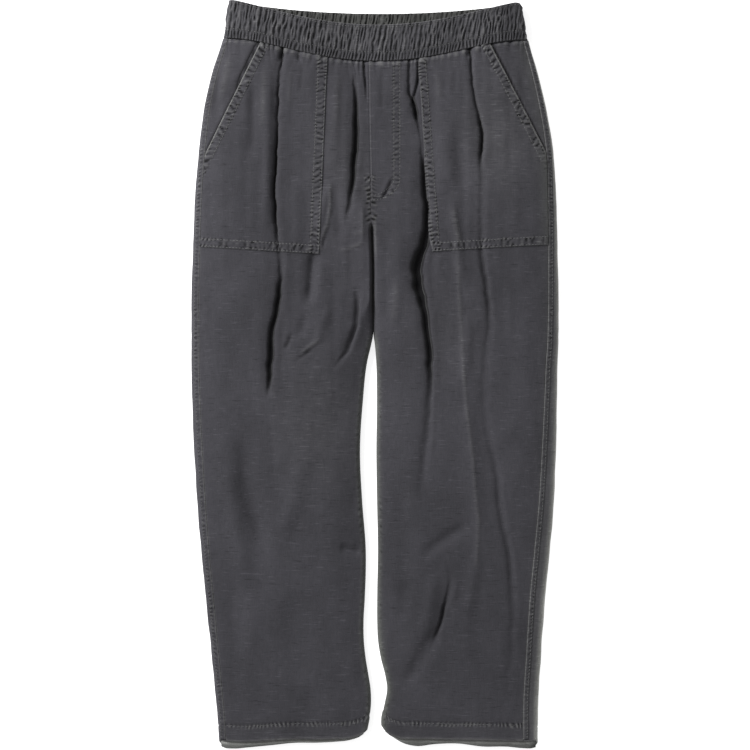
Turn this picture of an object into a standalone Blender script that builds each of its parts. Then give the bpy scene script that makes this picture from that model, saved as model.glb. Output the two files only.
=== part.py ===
"""Casual pull-on trousers, laid flat on their back with the front side up.

Every size in this file is in millimetres; the meshes are made in metres. +Z is up, +Y runs from the
hems to the waist and +X is to the right as one looks down on the front. Left and right are those of
that view. The origin lies on the floor, under the middle of the garment.

Each leg is a flattened tube: a back panel lies on the floor and rolls up over the outer edge to the
side seam, and a front panel spans from there to the centre seam, or below the crotch to the inside
leg seam. A gathered waistband, patch pockets with slanted mouths, a fly and turned-up hems go on it.
"""

import math

import bmesh
import bpy
import numpy as np

MM = 0.001

# Driving sizes
CLOTH = 1.2            # one layer of heavy cotton
SEAM_GAP = 0.3         # between two pieces at a seam
BAND_GAP = 0.9         # between the waistband and the panels hung from it
CROTCH_Y = 197.0       # where the legs part
FORK_RUN = 58.0        # the top layer sinks to the fork over this length above the crotch
DOME_RUN = 62.0        # the leg rises from its edge to its full height over this width
LOWEST_TOP = 12.0      # no fold in the front goes lower than this
SIDE_LAP = 6.0         # the felled strip beside each side seam
SIDE_LAP_RISE = 0.7
SIDE_LAP_NEXT = 2.5    # from the strip to the next column of the back
PANEL_LENGTH = 960.0
HEM_DEPTH = 22.0
HEM_GAP = 0.3

BAND_WALL = 3.0        # elastic between two layers of cloth
BAND_ROLL = 8.6        # radius of the band's two folded ends
BAND_CREST = 27.0      # height of the band's upper side over the floor
BAND_GATHERS = 66      # on each half
BAND_GATHER_RISE = 1.3
BAND_END_FADE = 4.0    # how fast the gathers fade round the folded ends
BAND_STITCH = 0.25     # the casing is stitched down at this share of its height
BAND_ROW_COLUMNS = ("share", "raised")
BAND_ROWS = (
    (0.0, 0.45),
    (BAND_STITCH, 0.1),
    (0.6, 1.0),
    (1.0, 0.6),
)

POCKET_CLOTH = 1.1
POCKET_LIFT = 0.3
MOUTH_HEM_WIDTH = 13.0
MOUTH_HEM_RISE = 0.6

# The outline seen from above, the height of the upper side and the radius of the rolled edges
OUTLINE_COLUMNS = ("y", "left_outer", "left_inner", "right_inner", "right_outer", "loft", "roll")
OUTLINE = (
    (462.0, -208.0, -7.2, -6.8, 209.5, 24.5, 6.6),
    (432.0, -218.2, -7.2, -6.8, 218.2, 24.8, 6.5),
    (378.0, -232.0, -6.9, -6.5, 232.0, 25.0, 6.3),
    (309.0, -241.5, -6.2, -5.8, 244.3, 25.0, 6.1),
    (240.0, -247.0, -5.4, -5.0, 248.5, 25.0, 6.0),
    (197.0, -249.0, -4.5, -4.1, 250.2, 24.5, 6.0),
    (149.0, -250.8, -3.5, -2.0, 251.2, 24.0, 6.0),
    (103.0, -252.0, -3.7, -2.1, 252.0, 23.5, 6.0),
    (48.0, -252.0, -3.0, -0.6, 251.8, 22.5, 6.0),
    (19.0, -252.0, -10.5, 1.6, 250.6, 22.0, 6.0),
    (-35.0, -251.0, -16.5, 2.6, 249.8, 21.0, 6.0),
    (-104.0, -248.3, -20.5, 1.8, 248.4, 20.0, 6.0),
    (-172.0, -244.2, -17.6, 2.7, 245.7, 19.0, 5.8),
    (-240.0, -238.8, -12.6, 4.0, 240.2, 18.0, 5.6),
    (-308.0, -232.0, -14.0, 2.9, 233.4, 17.2, 5.4),
    (-336.0, -229.2, -15.6, 2.9, 231.2, 16.9, 5.3),
    (-365.0, -226.3, -15.2, 4.2, 229.2, 16.6, 5.2),
    (-391.0, -223.6, -12.4, 8.6, 227.6, 16.2, 5.2),
    (-412.0, -221.6, -8.9, 14.0, 226.0, 16.0, 5.2),
    (-431.0, -219.8, -6.0, 16.6, 224.8, 15.8, 5.2),
    (-450.0, -217.8, -5.4, 13.4, 224.0, 15.5, 5.2),
    (-472.0, -216.0, -7.8, 8.8, 223.8, 15.0, 5.2),
    (-490.0, -215.2, -11.4, 9.8, 223.8, 14.6, 5.2),
    (-512.0, -214.0, -16.0, 14.0, 223.8, 14.4, 5.2),
)

# How far each side seam lies inside the outline
SEAM_INSET_COLUMNS = ("y", "left", "right")
SEAM_INSET = (
    (462.0, 8.6, 8.6),
    (388.0, 9.0, 9.5),
    (300.0, 9.8, 11.0),
    (150.0, 11.0, 14.5),
    (20.0, 11.6, 17.0),
    (-104.0, 12.6, 20.5),
    (-240.0, 12.0, 22.5),
    (-370.0, 11.0, 21.5),
    (-512.0, 10.4, 21.0),
)

# The hems: y of each leg's front and back edge, by the share of the width from the outer edge
HEM_COLUMNS = ("share", "left_front", "left_back", "right_front", "right_back")
HEM = (
    (0.00, -499.0, -506.0, -500.5, -508.5),
    (0.03, -501.0, -510.5, -501.5, -511.5),
    (0.10, -502.5, -512.5, -501.7, -512.0),
    (0.20, -503.0, -511.0, -501.3, -510.0),
    (0.36, -501.0, -508.0, -500.6, -509.8),
    (0.52, -499.3, -504.8, -500.0, -505.7),
    (0.68, -499.8, -504.6, -499.2, -506.6),
    (0.80, -499.0, -503.4, -498.6, -509.0),
    (0.90, -497.5, -501.0, -497.0, -504.5),
    (0.97, -491.0, -496.0, -494.0, -498.0),
    (1.00, -486.0, -489.0, -484.0, -487.0),
)

# The band's two ends, and how far its front and back edges dip between them. The powers, for its
# lower and its upper edge, say how sharply an edge dips.
BAND_COLUMNS = ("share", "left_x", "right_x", "left_y", "right_y", "front_dip", "back_dip")
BAND = (
    (0.0, -208.0, 209.5, 461.0, 458.5, 31.5, 14.0),
    (0.5, -204.5, 205.7, 487.5, 485.0, 33.2, 15.2),
    (1.0, -200.0, 201.0, 514.0, 511.5, 35.0, 16.5),
)
BAND_DIP_POWERS = {"front": (1.9, 1.25), "back": (0.9, 0.9)}

# The four deepest folds run the length of a leg: where each one lies, how deep it is there, and how
# wide its sloping left bank is. The right bank is a steep lip.
DEEP_COLUMNS = ("y", "x", "depth", "bank")
DEEP_FOLDS = {
    ("left", "a"): (
        (450.0, -127.0, 3.0, 7.0),
        (429.0, -127.5, 5.0, 7.0),
        (388.0, -131.8, 6.0, 9.0),
        (310.0, -135.0, 8.0, 10.0),
        (262.0, -136.0, 9.0, 10.0),
        (197.0, -133.0, 6.5, 9.0),
        (162.0, -129.0, 3.0, 8.0),
        (145.0, -128.0, 6.0, 8.0),
        (101.0, -131.5, 10.0, 9.0),
        (52.0, -140.5, 10.0, 10.0),
        (5.0, -144.5, 9.0, 10.0),
        (-18.0, -145.5, 6.0, 9.0),
        (-32.0, -146.0, 1.5, 9.0),
        (-80.0, -142.0, 1.0, 12.0),
        (-150.0, -135.0, 0.0, 12.0),
        (-510.0, -135.0, 0.0, 12.0),
    ),
    ("left", "b"): (
        (450.0, -29.0, 0.0, 6.0),
        (410.0, -28.7, 0.5, 6.0),
        (388.0, -27.3, 5.0, 8.0),
        (350.0, -24.8, 11.0, 9.0),
        (306.0, -27.3, 11.0, 9.0),
        (262.0, -31.0, 9.0, 9.0),
        (232.0, -35.0, 5.0, 9.0),
        (205.0, -39.0, 1.0, 8.0),
        (150.0, -34.0, 0.0, 8.0),
        (118.0, -24.5, 1.0, 9.0),
        (85.0, -25.0, 5.0, 10.0),
        (45.0, -32.0, 5.0, 10.0),
        (22.0, -45.0, 2.5, 8.0),
        (5.0, -56.0, 0.2, 8.0),
        (-100.0, -62.0, 0.0, 9.0),
        (-510.0, -64.0, 0.0, 9.0),
    ),
    ("right", "a"): (
        (450.0, 46.5, 3.0, 5.0),
        (426.0, 46.5, 4.0, 5.0),
        (393.0, 47.0, 6.0, 6.0),
        (376.0, 52.5, 7.5, 6.0),
        (360.0, 57.5, 8.5, 6.0),
        (344.0, 59.5, 5.5, 7.0),
        (322.0, 63.5, 4.5, 7.0),
        (294.0, 65.5, 7.0, 8.0),
        (262.0, 70.0, 10.0, 9.0),
        (205.0, 74.0, 12.0, 10.0),
        (180.0, 71.0, 12.5, 13.0),
        (139.0, 58.0, 12.0, 12.0),
        (100.0, 65.0, 11.0, 11.0),
        (52.0, 73.5, 10.0, 9.0),
        (10.0, 76.5, 7.6, 10.0),
        (-25.0, 76.5, 4.8, 12.0),
        (-50.0, 75.0, 3.8, 14.0),
        (-80.0, 71.5, 3.4, 15.0),
        (-117.0, 68.0, 2.6, 15.0),
        (-165.0, 64.0, 0.8, 14.0),
        (-230.0, 84.0, 0.3, 12.0),
        (-275.0, 103.0, 1.6, 8.0),
        (-305.0, 98.5, 4.0, 7.0),
        (-328.0, 93.5, 5.4, 7.0),
        (-352.0, 86.5, 4.2, 7.0),
        (-368.0, 80.0, 1.0, 9.0),
        (-390.0, 70.0, 0.0, 11.0),
        (-450.0, 50.0, 0.0, 10.0),
        (-510.0, 50.0, 0.0, 10.0),
    ),
    ("right", "b"): (
        (455.0, 131.0, 4.0, 5.0),
        (430.0, 132.3, 5.5, 5.0),
        (377.0, 136.5, 5.0, 6.0),
        (346.0, 145.5, 7.5, 8.0),
        (328.0, 148.0, 8.5, 8.0),
        (302.0, 146.5, 7.0, 8.0),
        (285.0, 145.8, 3.5, 9.0),
        (230.0, 145.5, 2.5, 11.0),
        (170.0, 146.0, 3.5, 11.0),
        (115.0, 154.0, 4.5, 10.0),
        (66.0, 156.0, 2.8, 10.0),
        (0.0, 150.0, 1.5, 12.0),
        (-76.0, 153.0, 1.6, 13.0),
        (-126.0, 165.0, 2.4, 12.0),
        (-192.0, 173.0, 3.2, 11.0),
        (-254.0, 182.0, 3.4, 11.0),
        (-310.0, 184.0, 2.0, 12.0),
        (-379.0, 183.0, 1.5, 13.0),
        (-440.0, 178.0, 0.2, 13.0),
        (-510.0, 168.0, 0.0, 13.0),
    ),
}
LIP = 3.4              # width of a deep fold's steep right bank
BANK_REACH = 0.9       # the columns beside a fold's line, by the width of its bank and of its lip
LIP_REACH = 1.25
ROLL_CLEAR = 2.0       # from the rolled inner edge to the first of those columns

# Softer folds: both ends, the sideways bow of the line between them, the half width, and the rise,
# which is below nought for a trough
SOFT_COLUMNS = ("leg", "x0", "y0", "x1", "y1", "bow", "width", "rise")
SOFT_FOLDS = (
    ("left", -146.0, 430.0, -146.5, 190.0, 0.0, 8.0, 1.8),
    ("left", -166.0, 410.0, -170.0, 285.0, 2.0, 9.0, -1.9),
    ("left", -107.0, 270.0, -106.0, 165.0, 0.0, 9.0, 1.2),
    ("left", -58.0, 425.0, -60.0, 250.0, 3.0, 11.0, 1.8),
    ("left", -62.0, 265.0, -74.0, 175.0, -4.0, 7.0, 1.6),
    ("left", -53.0, 268.0, -47.0, 172.0, 0.0, 8.5, -1.7),
    ("left", -83.5, 176.0, -89.5, 92.0, 0.0, 8.0, -3.2),
    ("left", -74.0, 165.0, -76.0, 55.0, 0.0, 14.0, 1.8),
    ("left", -64.0, 96.0, -80.0, 40.0, 0.0, 8.0, 1.2),
    ("left", -90.0, 86.0, -106.0, 46.0, 0.0, 8.0, -1.3),
    ("left", -183.0, -70.0, -141.0, -262.0, -9.0, 13.0, -3.0),
    ("left", -203.0, -100.0, -162.0, -300.0, -8.0, 13.0, 1.8),
    ("left", -93.0, -80.0, -136.0, -230.0, 8.0, 13.0, 1.6),
    ("left", -50.0, -233.0, -16.0, -243.0, -2.0, 6.0, -2.0),
    ("left", -196.0, -260.0, -190.0, -460.0, 0.0, 14.0, -1.3),
    ("left", -110.0, -290.0, -100.0, -430.0, 0.0, 20.0, -1.6),
    ("left", -18.0, 245.0, -15.5, 174.0, 0.0, 7.0, 1.2),
    ("right", 92.0, 410.0, 100.0, 240.0, 0.0, 13.0, 1.8),
    ("right", 104.0, 250.0, 124.0, 112.0, -2.0, 7.0, 1.8),
    ("right", 114.0, 330.0, 126.0, 200.0, 0.0, 11.0, -1.3),
    ("right", 36.0, 260.0, 28.0, 120.0, 0.0, 13.0, 1.4),
    ("right", 164.0, 400.0, 176.0, 300.0, 0.0, 15.0, 1.2),
    ("right", 128.0, 90.0, 122.0, -20.0, 0.0, 8.0, 1.4),
    ("right", 128.0, 10.0, 150.0, -255.0, -6.0, 11.0, 1.3),
    ("right", 139.0, -235.0, 124.0, -340.0, 2.0, 9.0, 1.3),
    ("right", 130.0, -204.0, 60.0, -252.0, -3.0, 8.0, -1.8),
    ("right", 82.0, -266.0, 66.0, -366.0, 0.0, 9.0, 1.6),
    ("right", 86.0, -345.0, 38.0, -432.0, 0.0, 10.0, -2.0),
    ("right", 116.0, -290.0, 130.0, -400.0, 0.0, 14.0, 1.2),
    ("right", 30.0, -120.0, 40.0, -330.0, 4.0, 14.0, -1.3),
)
SOFT_FADE = 0.28       # the share of a soft fold's length over which each end fades away

# Shallow creases on the underside, where the back panels lift off the floor
UNDER_FOLDS = (
    ("left", -170.0, 380.0, -150.0, 120.0, 6.0, 12.0, 1.5),
    ("left", -80.0, 170.0, -140.0, -10.0, -8.0, 13.0, 1.6),
    ("left", -110.0, -120.0, -130.0, -330.0, 5.0, 14.0, 1.4),
    ("right", 120.0, 370.0, 90.0, 180.0, 8.0, 12.0, 1.6),
    ("right", 160.0, 90.0, 110.0, -90.0, -8.0, 13.0, 1.6),
    ("right", 120.0, -180.0, 140.0, -400.0, 5.0, 14.0, 1.4),
)

# The patch pockets' straight edges: two points on each mouth, inner edge and bottom edge
POCKET_COLUMNS = ("leg", "edge", "x0", "y0", "x1", "y1")
POCKET_EDGES = (
    ("left", "mouth", -158.0, 451.0, -228.2, 310.5),
    ("left", "inside", -64.0, 435.0, -75.5, 165.0),
    ("left", "bottom", -238.0, 174.5, -75.5, 164.5),
    ("right", "mouth", 165.5, 436.5, 231.0, 310.5),
    ("right", "inside", 58.0, 435.0, 78.0, 168.0),
    ("right", "bottom", 78.0, 168.0, 236.0, 177.5),
)
POCKET_MIDDLE_X = 150.0
POCKET_MIDDLE_Y = 220.0

# The fly: its outer edge, and where its curved lower end leaves that edge and meets the centre seam
FLY_WIDTH = 42.0
FLY_STRAIGHT_TO_Y = 268.0
FLY_END_Y = 236.0
FLY_BEND_ACROSS = 0.32 # the bend in the lower edge, as shares of its width and of its height
FLY_BEND_DOWN = 0.22
FLY_CLOTH = 0.9

# How finely the cloth is divided
PANEL_ROWS = 30
STRIPS = (1, 5, 5)     # to the first deep fold, between the two, and on to the side seam
BAND_STEPS = 3         # points on each gather
TOP_GUESS = 450.0      # y that the search for each column's ends starts from
END_GUESS = -500.0
SEARCHES = 4

COLOURS = {
    "cloth": (0.060, 0.060, 0.066, 1.0),
    "band": (0.066, 0.065, 0.071, 1.0),
    "patch": (0.064, 0.063, 0.069, 1.0),
}


class Curves:
    """A table read as smooth curves, each named column against the first one."""

    def __init__(self, columns, rows):
        data = np.array(sorted(rows), float)
        self.at = data[:, 0]
        self.columns = dict(zip(columns[1:], data[:, 1:].T))

    def __call__(self, name, where):
        x, v = self.at, self.columns[name]
        slope = np.gradient(v, x)
        t = np.clip(where, x[0], x[-1])
        i = np.clip(np.searchsorted(x, t, side="right") - 1, 0, len(x) - 2)
        run = x[i + 1] - x[i]
        s = (t - x[i]) / run
        return (
            v[i] * (1 + 2 * s) * (1 - s) ** 2
            + v[i + 1] * s * s * (3 - 2 * s)
            + run * slope[i] * s * (1 - s) ** 2
            - run * slope[i + 1] * s * s * (1 - s)
        )


outline = Curves(OUTLINE_COLUMNS, OUTLINE)
seam_inset = Curves(SEAM_INSET_COLUMNS, SEAM_INSET)
hem = Curves(HEM_COLUMNS, HEM)
band = Curves(BAND_COLUMNS, BAND)
deep = {key: Curves(DEEP_COLUMNS, rows) for key, rows in DEEP_FOLDS.items()}


def ease(t):
    """Nought below 0, one above 1, and a smooth step between."""
    t = np.clip(t, 0.0, 1.0)
    return t * t * (3 - 2 * t)


def mix(a, b, share):
    return a + (b - a) * share


def outward(leg):
    return -1.0 if leg == "left" else 1.0


def edge_x(leg, which, y):
    return outline(f"{leg}_{which}", y)


def seam_x(leg, y):
    return edge_x(leg, "outer", y) - outward(leg) * seam_inset(leg, y)


def band_edge_y(face, x, share):
    """y of the band's front or back at x, at a share of its height from its lower edge."""
    left, right = band("left_x", share), band("right_x", share)
    along = np.clip((x - left) / (right - left), 0.0, 1.0)
    level = mix(band("left_y", share), band("right_y", share), along)
    across = 1 - (2 * along - 1) ** 2
    power = mix(*BAND_DIP_POWERS[face], share)
    return level - band(f"{face}_dip", share) * across**power


def hem_edge_y(leg, face, x, y):
    outer, inner = edge_x(leg, "outer", y), edge_x(leg, "inner", y)
    return hem(f"{leg}_{face}", np.clip((x - outer) / (inner - outer), 0.0, 1.0))


def fork(y):
    """One at the crotch and below, fading to nought above it."""
    return ease((CROTCH_Y + FORK_RUN - y) / FORK_RUN)


def soft_folds(table, leg, x, y):
    """Sum of the soft folds of one leg at x, y."""
    total = np.zeros(np.broadcast(x, y).shape)
    for row in table:
        if row[0] != leg:
            continue
        _, x0, y0, x1, y1, bow, width, rise = row
        length = math.hypot(x1 - x0, y1 - y0)
        ex, ey = (x1 - x0) / length, (y1 - y0) / length
        along = ((x - x0) * ex + (y - y0) * ey) / length
        across = (x - x0) * -ey + (y - y0) * ex - bow * 4 * along * (1 - along)
        fade = ease(along / SOFT_FADE) * ease((1 - along) / SOFT_FADE)
        total = total + rise * fade * np.exp(-((across / width) ** 2))
    return total


def deep_folds(leg, x, y):
    """Sum of the deep folds of one leg at x, y: a sloping left bank and a steep right lip."""
    total = np.zeros(np.broadcast(x, y).shape)
    for name in ("a", "b"):
        fold = deep[(leg, name)]
        across = x - fold("x", y)
        width = np.where(across < 0, fold("bank", y), LIP)
        total = total - np.maximum(fold("depth", y), 0.0) * np.exp(-((across / width) ** 2))
    return total


def rise_from_edge(distance):
    """The share of the leg's height reached at a distance from its edge."""
    return 1 - (1 - np.clip(distance / DOME_RUN, 0.0, 1.0)) ** 2


def crown(leg, x, y):
    """Height of the upper side over the rolled edges, with its folds."""
    to_outer = np.abs(edge_x(leg, "outer", y) - x)
    to_inner = np.abs(x - edge_x(leg, "inner", y))
    w = fork(y)
    roll = outline("roll", y)
    dome = rise_from_edge(to_outer) * mix(1.0, rise_from_edge(to_inner), w)
    flat = 2 * roll + (outline("loft", y) - 2 * roll) * dome
    near = ease(to_outer / (3 * roll)) * mix(1.0, ease(to_inner / (3 * roll)), w)
    folded = flat + near * (deep_folds(leg, x, y) + soft_folds(SOFT_FOLDS, leg, x, y))
    return np.maximum(folded, np.minimum(flat, LOWEST_TOP)) - 2 * roll


def front_point(leg, girth, y):
    """Outer point and outward normal of the front, at a girth from the inner end."""
    side, roll, w = outward(leg), outline("roll", y), fork(y)
    quarter = roll * math.pi / 2
    turn = np.clip(girth / roll, 0.0, math.pi / 2)
    d = roll * (1 - np.cos(turn)) + np.maximum(girth - quarter, 0.0)
    x = edge_x(leg, "inner", y) + side * d
    z = 2 * roll - w * roll * (1 - np.sin(turn)) + crown(leg, x, y) * mix(1.0, np.sin(turn), w)
    nx = -side * np.cos(turn) * w
    nz = mix(1.0, np.sin(turn), w)
    size = np.hypot(nx, nz)
    return x, z, nx / size, nz / size


def front_girth(leg, y):
    roll = outline("roll", y)
    return np.abs(seam_x(leg, y) - edge_x(leg, "inner", y)) - roll + roll * math.pi / 2


def front_columns(leg, y):
    """The girths of the front panel's columns at y, from the inner end to the side seam."""
    roll = outline("roll", y)
    quarter = roll * math.pi / 2
    inner = edge_x(leg, "inner", y)

    def girth_at(x):
        return np.abs(x - inner) - roll + quarter

    columns = [0 * y, quarter / 3, quarter * 2 / 3, quarter]
    for name, strips in zip(("b", "a") if leg == "left" else ("a", "b"), STRIPS):
        fold = deep[(leg, name)]
        trough = fold("x", y)
        bank = BANK_REACH * fold("bank", y)
        sides = (LIP_REACH * LIP, 0.0, -bank) if leg == "left" else (-bank, 0.0, LIP_REACH * LIP)
        across = [girth_at(trough + side) for side in sides]
        late = np.maximum(quarter + ROLL_CLEAR - across[0], 0.0)
        across = [girth + late for girth in across]
        start = columns[-1]
        columns += [mix(start, across[0], k / strips) for k in range(1, strips + 1)] + across[1:]
    start, end, strips = columns[-1], front_girth(leg, y), STRIPS[-1]
    return columns + [mix(start, end, k / strips) for k in range(1, strips + 1)]


def add_object(name, mesh, colour, smooth_deg=40.0):
    mesh.materials.append(colour)
    mesh.shade_smooth()
    mesh.set_sharp_from_angle(angle=math.radians(smooth_deg))
    made = bpy.data.objects.new(name, mesh)
    bpy.context.scene.collection.objects.link(made)
    return made


def material(name, rgba):
    made = bpy.data.materials.new(name)
    made.use_nodes = True
    shader = made.node_tree.nodes["Principled BSDF"]
    shader.inputs["Base Color"].default_value = rgba
    shader.inputs["Roughness"].default_value = 0.92
    shader.inputs["Metallic"].default_value = 0.0
    made.diffuse_color = rgba
    return made


def wall(name, outer, inner, colour):
    """A closed wall between two grids of points, rows by columns by xyz."""
    rows, columns = outer.shape[:2]
    points = np.concatenate([outer.reshape(-1, 3), inner.reshape(-1, 3)]) * MM
    lower = rows * columns

    def at(r, c):
        return r * columns + c

    faces = []
    for r in range(rows - 1):
        for c in range(columns - 1):
            quad = [at(r, c), at(r, c + 1), at(r + 1, c + 1), at(r + 1, c)]
            faces.append(quad)
            faces.append([lower + quad[k] for k in (0, 3, 2, 1)])
    rim = (
        [at(0, c) for c in range(columns)]
        + [at(r, columns - 1) for r in range(1, rows)]
        + [at(rows - 1, c) for c in range(columns - 2, -1, -1)]
        + [at(r, 0) for r in range(rows - 2, 0, -1)]
    )
    for a, b in zip(rim, rim[1:] + rim[:1]):
        faces.append([b, a, lower + a, lower + b])
    mesh = bpy.data.meshes.new(name)
    mesh.from_pydata(points.tolist(), [], faces)
    return add_object(name, faced_out(mesh), colour)


def faced_out(mesh):
    """The mesh in triangles, its faces pointing out."""
    work = bmesh.new()
    work.from_mesh(mesh)
    bmesh.ops.triangulate(work, faces=work.faces[:], quad_method="FIXED")
    bmesh.ops.recalc_face_normals(work, faces=work.faces[:])
    work.to_mesh(mesh)
    work.free()
    return mesh


def panel_levels():
    """Shares of the leg's length for the rows: the hem has a row of its own."""
    return np.concatenate([np.linspace(0.0, 1.0, PANEL_ROWS - 1)[:-1], [1 - HEM_DEPTH / PANEL_LENGTH, 1.0]])


def front_grid(leg, depth):
    """The front panel's points, this deep under its outer side."""
    count = len(front_columns(leg, np.array(0.0)))
    levels = panel_levels()
    grid = np.zeros((len(levels), count, 3))
    for c in range(count):
        y_top, y_end = np.array(TOP_GUESS), np.array(END_GUESS)
        for _ in range(SEARCHES):
            x_top = front_point(leg, front_columns(leg, y_top)[c], y_top)[0]
            y_top = band_edge_y("front", x_top, 0.0) - BAND_GAP
            x_end, _, nx_end, _ = front_point(leg, front_columns(leg, y_end)[c], y_end)
            y_end = mix(
                hem_edge_y(leg, "front", x_end, y_end),
                hem_edge_y(leg, "back", x_end, y_end),
                0.5 * np.abs(nx_end),
            )
        y = y_top + (y_end - y_top) * levels
        girth = front_columns(leg, y)[c] + 0 * y
        x, z, nx, nz = front_point(leg, girth, y)
        z = z + SEAM_GAP / 2 * fork(y) * (girth < 1e-6)
        grid[:, c] = np.stack([x - depth * nx, y, z - depth * nz], axis=1)
    if leg == "right":
        grid = grid[:, ::-1]
    return grid


LAP_STEPS = (0.0, SIDE_LAP, SIDE_LAP + SIDE_LAP_RISE, SIDE_LAP + SIDE_LAP_NEXT)
OUTER_TURNS = (30.0, -10.0, -50.0, -90.0)
INNER_TURNS = (-90.0, -42.0, 0.0)
FLOOR_STEPS = 3


def back_column(leg, part, value, y):
    """Outer point and normal of one column of the back panel, and how far it has turned under."""
    side, roll, w = outward(leg), outline("roll", y), fork(y)
    outer, inner = edge_x(leg, "outer", y), edge_x(leg, "inner", y)
    if part in ("lap", "outer"):
        flat = np.abs(outer - seam_x(leg, y)) - SEAM_GAP - roll
        turn = math.radians(value) + 0 * y
        on_flat = 0 * y
        if part == "lap":
            girth = np.maximum(value, flat) if value == LAP_STEPS[-1] else value
            turn = math.pi / 2 - np.maximum(girth - flat, 0.0) / roll
            on_flat = np.maximum(flat - girth, 0.0)
        x = outer - side * (roll * (1 - np.cos(turn)) + on_flat)
        z = roll * (1 + np.sin(turn)) + crown(leg, x, y) * np.maximum(np.sin(turn), 0.0) ** 3
        raised = SIDE_LAP_RISE if part == "lap" and value <= SIDE_LAP else 0.0
        nx, nz = side * np.cos(turn), np.sin(turn)
        return x + raised * nx, z + raised * nz, nx, nz, 0.5 - 0.5 * np.sin(turn)
    if part == "floor":
        x = mix(outer - side * roll, inner + side * roll, value)
        lift = np.maximum(soft_folds(UNDER_FOLDS, leg, x, y), 0.0)
        return x, lift, 0 * y, -1 + 0 * y, 1.0
    turn = math.radians(value)
    x = inner + side * roll * (1 - math.cos(turn))
    z = w * roll * (1 + math.sin(turn))
    nx, nz = -side * math.cos(turn) * w, mix(-1.0, math.sin(turn), w)
    size = np.maximum(np.hypot(nx, nz), 1e-6)
    return x, z, nx / size, nz / size, mix(1.0, 0.5 - 0.5 * math.sin(turn), w)


def back_parts():
    parts = [("lap", step) for step in LAP_STEPS]
    parts += [("outer", turn) for turn in OUTER_TURNS]
    parts += [("floor", k / (FLOOR_STEPS + 1)) for k in range(1, FLOOR_STEPS + 1)]
    return parts + [("inner", turn) for turn in INNER_TURNS]


def back_grid(leg, depth):
    levels = panel_levels()
    parts = back_parts()
    grid = np.zeros((len(levels), len(parts), 3))
    for c, (part, value) in enumerate(parts):
        y_top, y_end = np.array(TOP_GUESS), np.array(END_GUESS)
        for _ in range(SEARCHES):
            x, _, _, _, under = back_column(leg, part, value, y_top)
            edges = band_edge_y("front", x, 0.0), band_edge_y("back", x, 0.0)
            y_top = mix(*edges, under) - BAND_GAP
            x, _, _, _, under = back_column(leg, part, value, y_end)
            ends = hem_edge_y(leg, "front", x, y_end), hem_edge_y(leg, "back", x, y_end)
            y_end = mix(*ends, under)
        y = y_top + (y_end - y_top) * levels
        x, z, nx, nz, _ = back_column(leg, part, value, y)
        if (part, value) == parts[-1]:
            z = z - SEAM_GAP / 2 * fork(y)
        grid[:, c] = np.stack([x - depth * nx, y, z - depth * nz], axis=1)
    if leg == "left":
        grid = grid[:, ::-1]
    return grid


def hem_grids(grid_of, leg):
    """Outer and inner points of the turned-up hem, inside the lower end of a panel."""
    outer = grid_of(leg, CLOTH + HEM_GAP)[-2:]
    inner = grid_of(leg, 2 * CLOTH + HEM_GAP)[-2:]
    return outer, inner


def band_profile(face, share, columns):
    """x, height and normal round one half of the band at a share of its height."""
    left, right = band("left_x", share), band("right_x", share)
    quarter = BAND_ROLL * math.pi / 2
    flat = right - left - 2 * BAND_ROLL
    girth = columns * (2 * quarter + flat)
    from_end = np.minimum(girth, 2 * quarter + flat - girth)
    turn = np.clip(from_end / BAND_ROLL, 0.0, math.pi / 2)
    d = BAND_ROLL * (1 - np.cos(turn)) + np.maximum(from_end - quarter, 0.0)
    on_left = columns <= 0.5
    x = np.where(on_left, left + d, right - d)
    nx = np.where(on_left, -np.cos(turn), np.cos(turn))
    nz = np.sin(turn)
    if face == "front":
        z = BAND_ROLL * (1 + np.sin(turn))
        z = z + (BAND_CREST - 2 * BAND_ROLL) * rise_from_edge(d) * np.sin(turn)
        return x, z, nx, nz
    return x, BAND_ROLL * (1 - np.sin(turn)), nx, -nz


def band_half(face, colour):
    """One half of the waistband: gathers raised in its outer points over a plain inside."""
    steps = BAND_GATHERS * BAND_STEPS
    columns = np.linspace(0.0, 1.0, steps + 1)
    phase = np.arange(steps + 1) % BAND_STEPS
    wave = np.where(phase == 0, 0.0, 1.0)
    outer = np.zeros((len(BAND_ROWS), steps + 1, 3))
    inner = np.zeros((len(BAND_ROWS), steps + 1, 3))
    for r, (share, raised) in enumerate(BAND_ROWS):
        x, z, nx, nz = band_profile(face, share, columns)
        if face == "front":
            z = np.maximum(z, BAND_ROLL + SEAM_GAP / 2)
        else:
            z = np.minimum(z, BAND_ROLL - SEAM_GAP / 2)
        y = band_edge_y(face, x, share)
        sunk = BAND_GATHER_RISE * (1 - wave * raised) * np.minimum(BAND_END_FADE * nz * nz, 1.0)
        outer[r] = np.stack([x - sunk * nx, y, z - sunk * nz], axis=1)
        inner[r] = np.stack([x - BAND_WALL * nx, y, z - BAND_WALL * nz], axis=1)
    return wall(f"waistband_{face}", outer, inner, colour)


def sheet_mesh(grid):
    """An open sheet of triangles from a grid, cut the same way as the wall's outer side."""
    rows, columns = grid.shape[:2]
    faces = []
    for r in range(rows - 1):
        for c in range(columns - 1):
            v = r * columns + c
            faces.append([v, v + 1, v + columns + 1, v + columns])
    work = bmesh.new()
    verts = [work.verts.new(p) for p in (grid.reshape(-1, 3) * MM).tolist()]
    for f in faces:
        work.faces.new([verts[i] for i in f])
    bmesh.ops.triangulate(work, faces=work.faces[:], quad_method="FIXED")
    return work


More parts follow.
